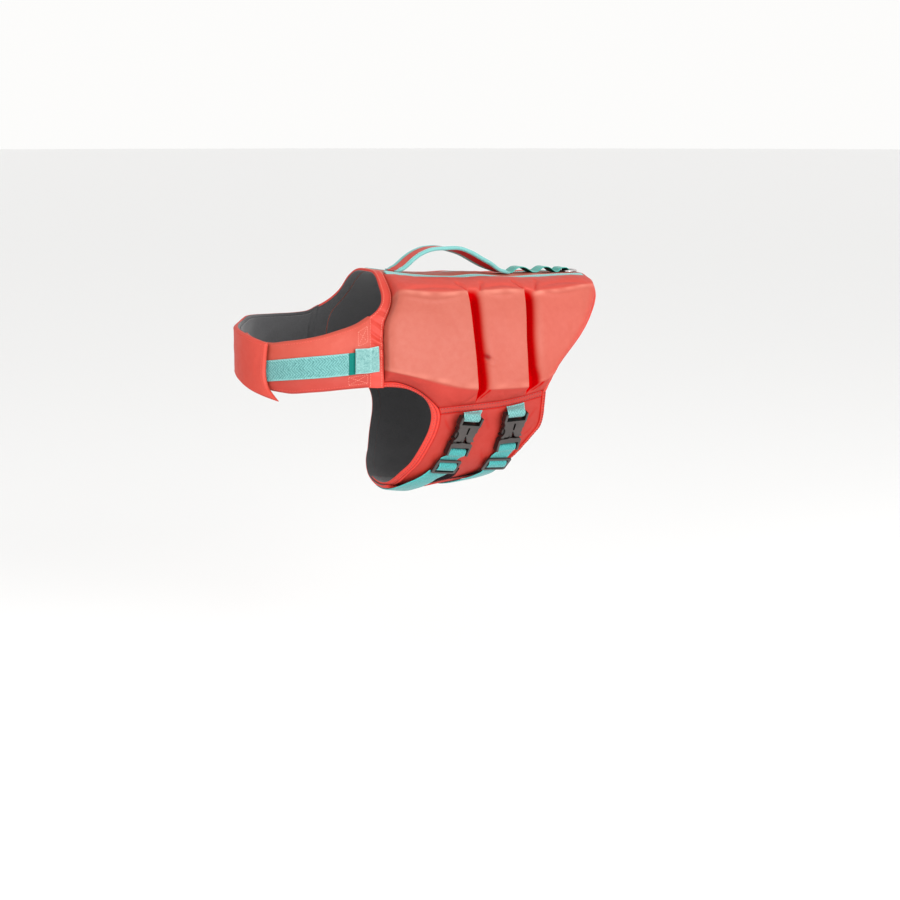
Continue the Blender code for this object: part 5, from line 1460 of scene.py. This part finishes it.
sewn("stitches_handle", rows_on("handle_tape_left_tape", [(0.03, 0.5, 0.97, 0.5)])
     + rows_on("handle_tape_right_tape", [(0.03, 0.5, 0.97, 0.5)]), THREAD_AQUA, 2.8, 2.0, 0.42, 0.24)
sewn("stitches_feet", [line for a, b in ((0.012, 0.045), (0.94, 0.985))
                       for line in box_on("handle_middle", a, 0.08, b, 0.92)], THREAD, 2.0, 1.5, 0.42, 0.24)
sewn("stitches_patch", box_on("loop_patch_cloth", 0.04, 0.06, 0.96, 0.94, False),
     THREAD_DARK, 2.6, 1.8, 0.45, 0.26)

for obj in bpy.context.scene.objects:
    if obj.type == "MESH" and obj.name.startswith(("buckle_1_", "buckle_2_", "slider_")):
        for place in obj.material_slots:
            place.material = PLASTIC


# ---------------------------------------------------------------- studio

def area_light(name, where, aim, size, power, tint=(1, 1, 1)):
    light = bpy.data.lights.new(name, "AREA")
    light.shape, light.size, light.energy, light.color = "DISK", size, power, tint
    obj = bpy.data.objects.new(name, light)
    bpy.context.scene.collection.objects.link(obj)
    obj.location = where
    obj.rotation_euler = (Vector(aim) - Vector(where)).to_track_quat("-Z", "Y").to_euler()
    return obj


FLOOR = -0.50
work = bmesh.new()
bmesh.ops.create_circle(work, cap_ends=True, segments=64, radius=40)
bmesh.ops.translate(work, verts=work.verts, vec=(0, 0, FLOOR))
floor_mesh = bpy.data.meshes.new("studio_floor")
work.to_mesh(floor_mesh)
work.free()
floor = bpy.data.objects.new("studio_floor", floor_mesh)
bpy.context.scene.collection.objects.link(floor)
floor_mesh.materials.append(Paint("studio_pale", (0.86, 0.86, 0.86)).mat)

world = bpy.data.worlds.new("studio")
bpy.context.scene.world = world
world.use_nodes = True
world.node_tree.nodes["Background"].inputs[0].default_value = (1.0, 0.995, 0.985, 1)
world.node_tree.nodes["Background"].inputs[1].default_value = 0.98
bpy.context.scene.view_settings.view_transform = "Standard"
area_light("key", (0.55, -2.6, 0.45), (-0.05, -0.05, -0.10), 2.2, 72)
area_light("fill", (-2.4, -1.5, 0.45), (-0.25, 0.0, -0.10), 1.4, 22)

camera = bpy.data.cameras.new("camera")
camera.lens, camera.sensor_width = 68, 36
camera_obj = bpy.data.objects.new("camera", camera)
bpy.context.scene.collection.objects.link(camera_obj)
camera_obj.location = (-1.02630, -1.85149, 0.18991)
camera_obj.rotation_euler = (radians(90 - 11), 0, radians(-27.9553))
bpy.context.scene.camera = camera_obj
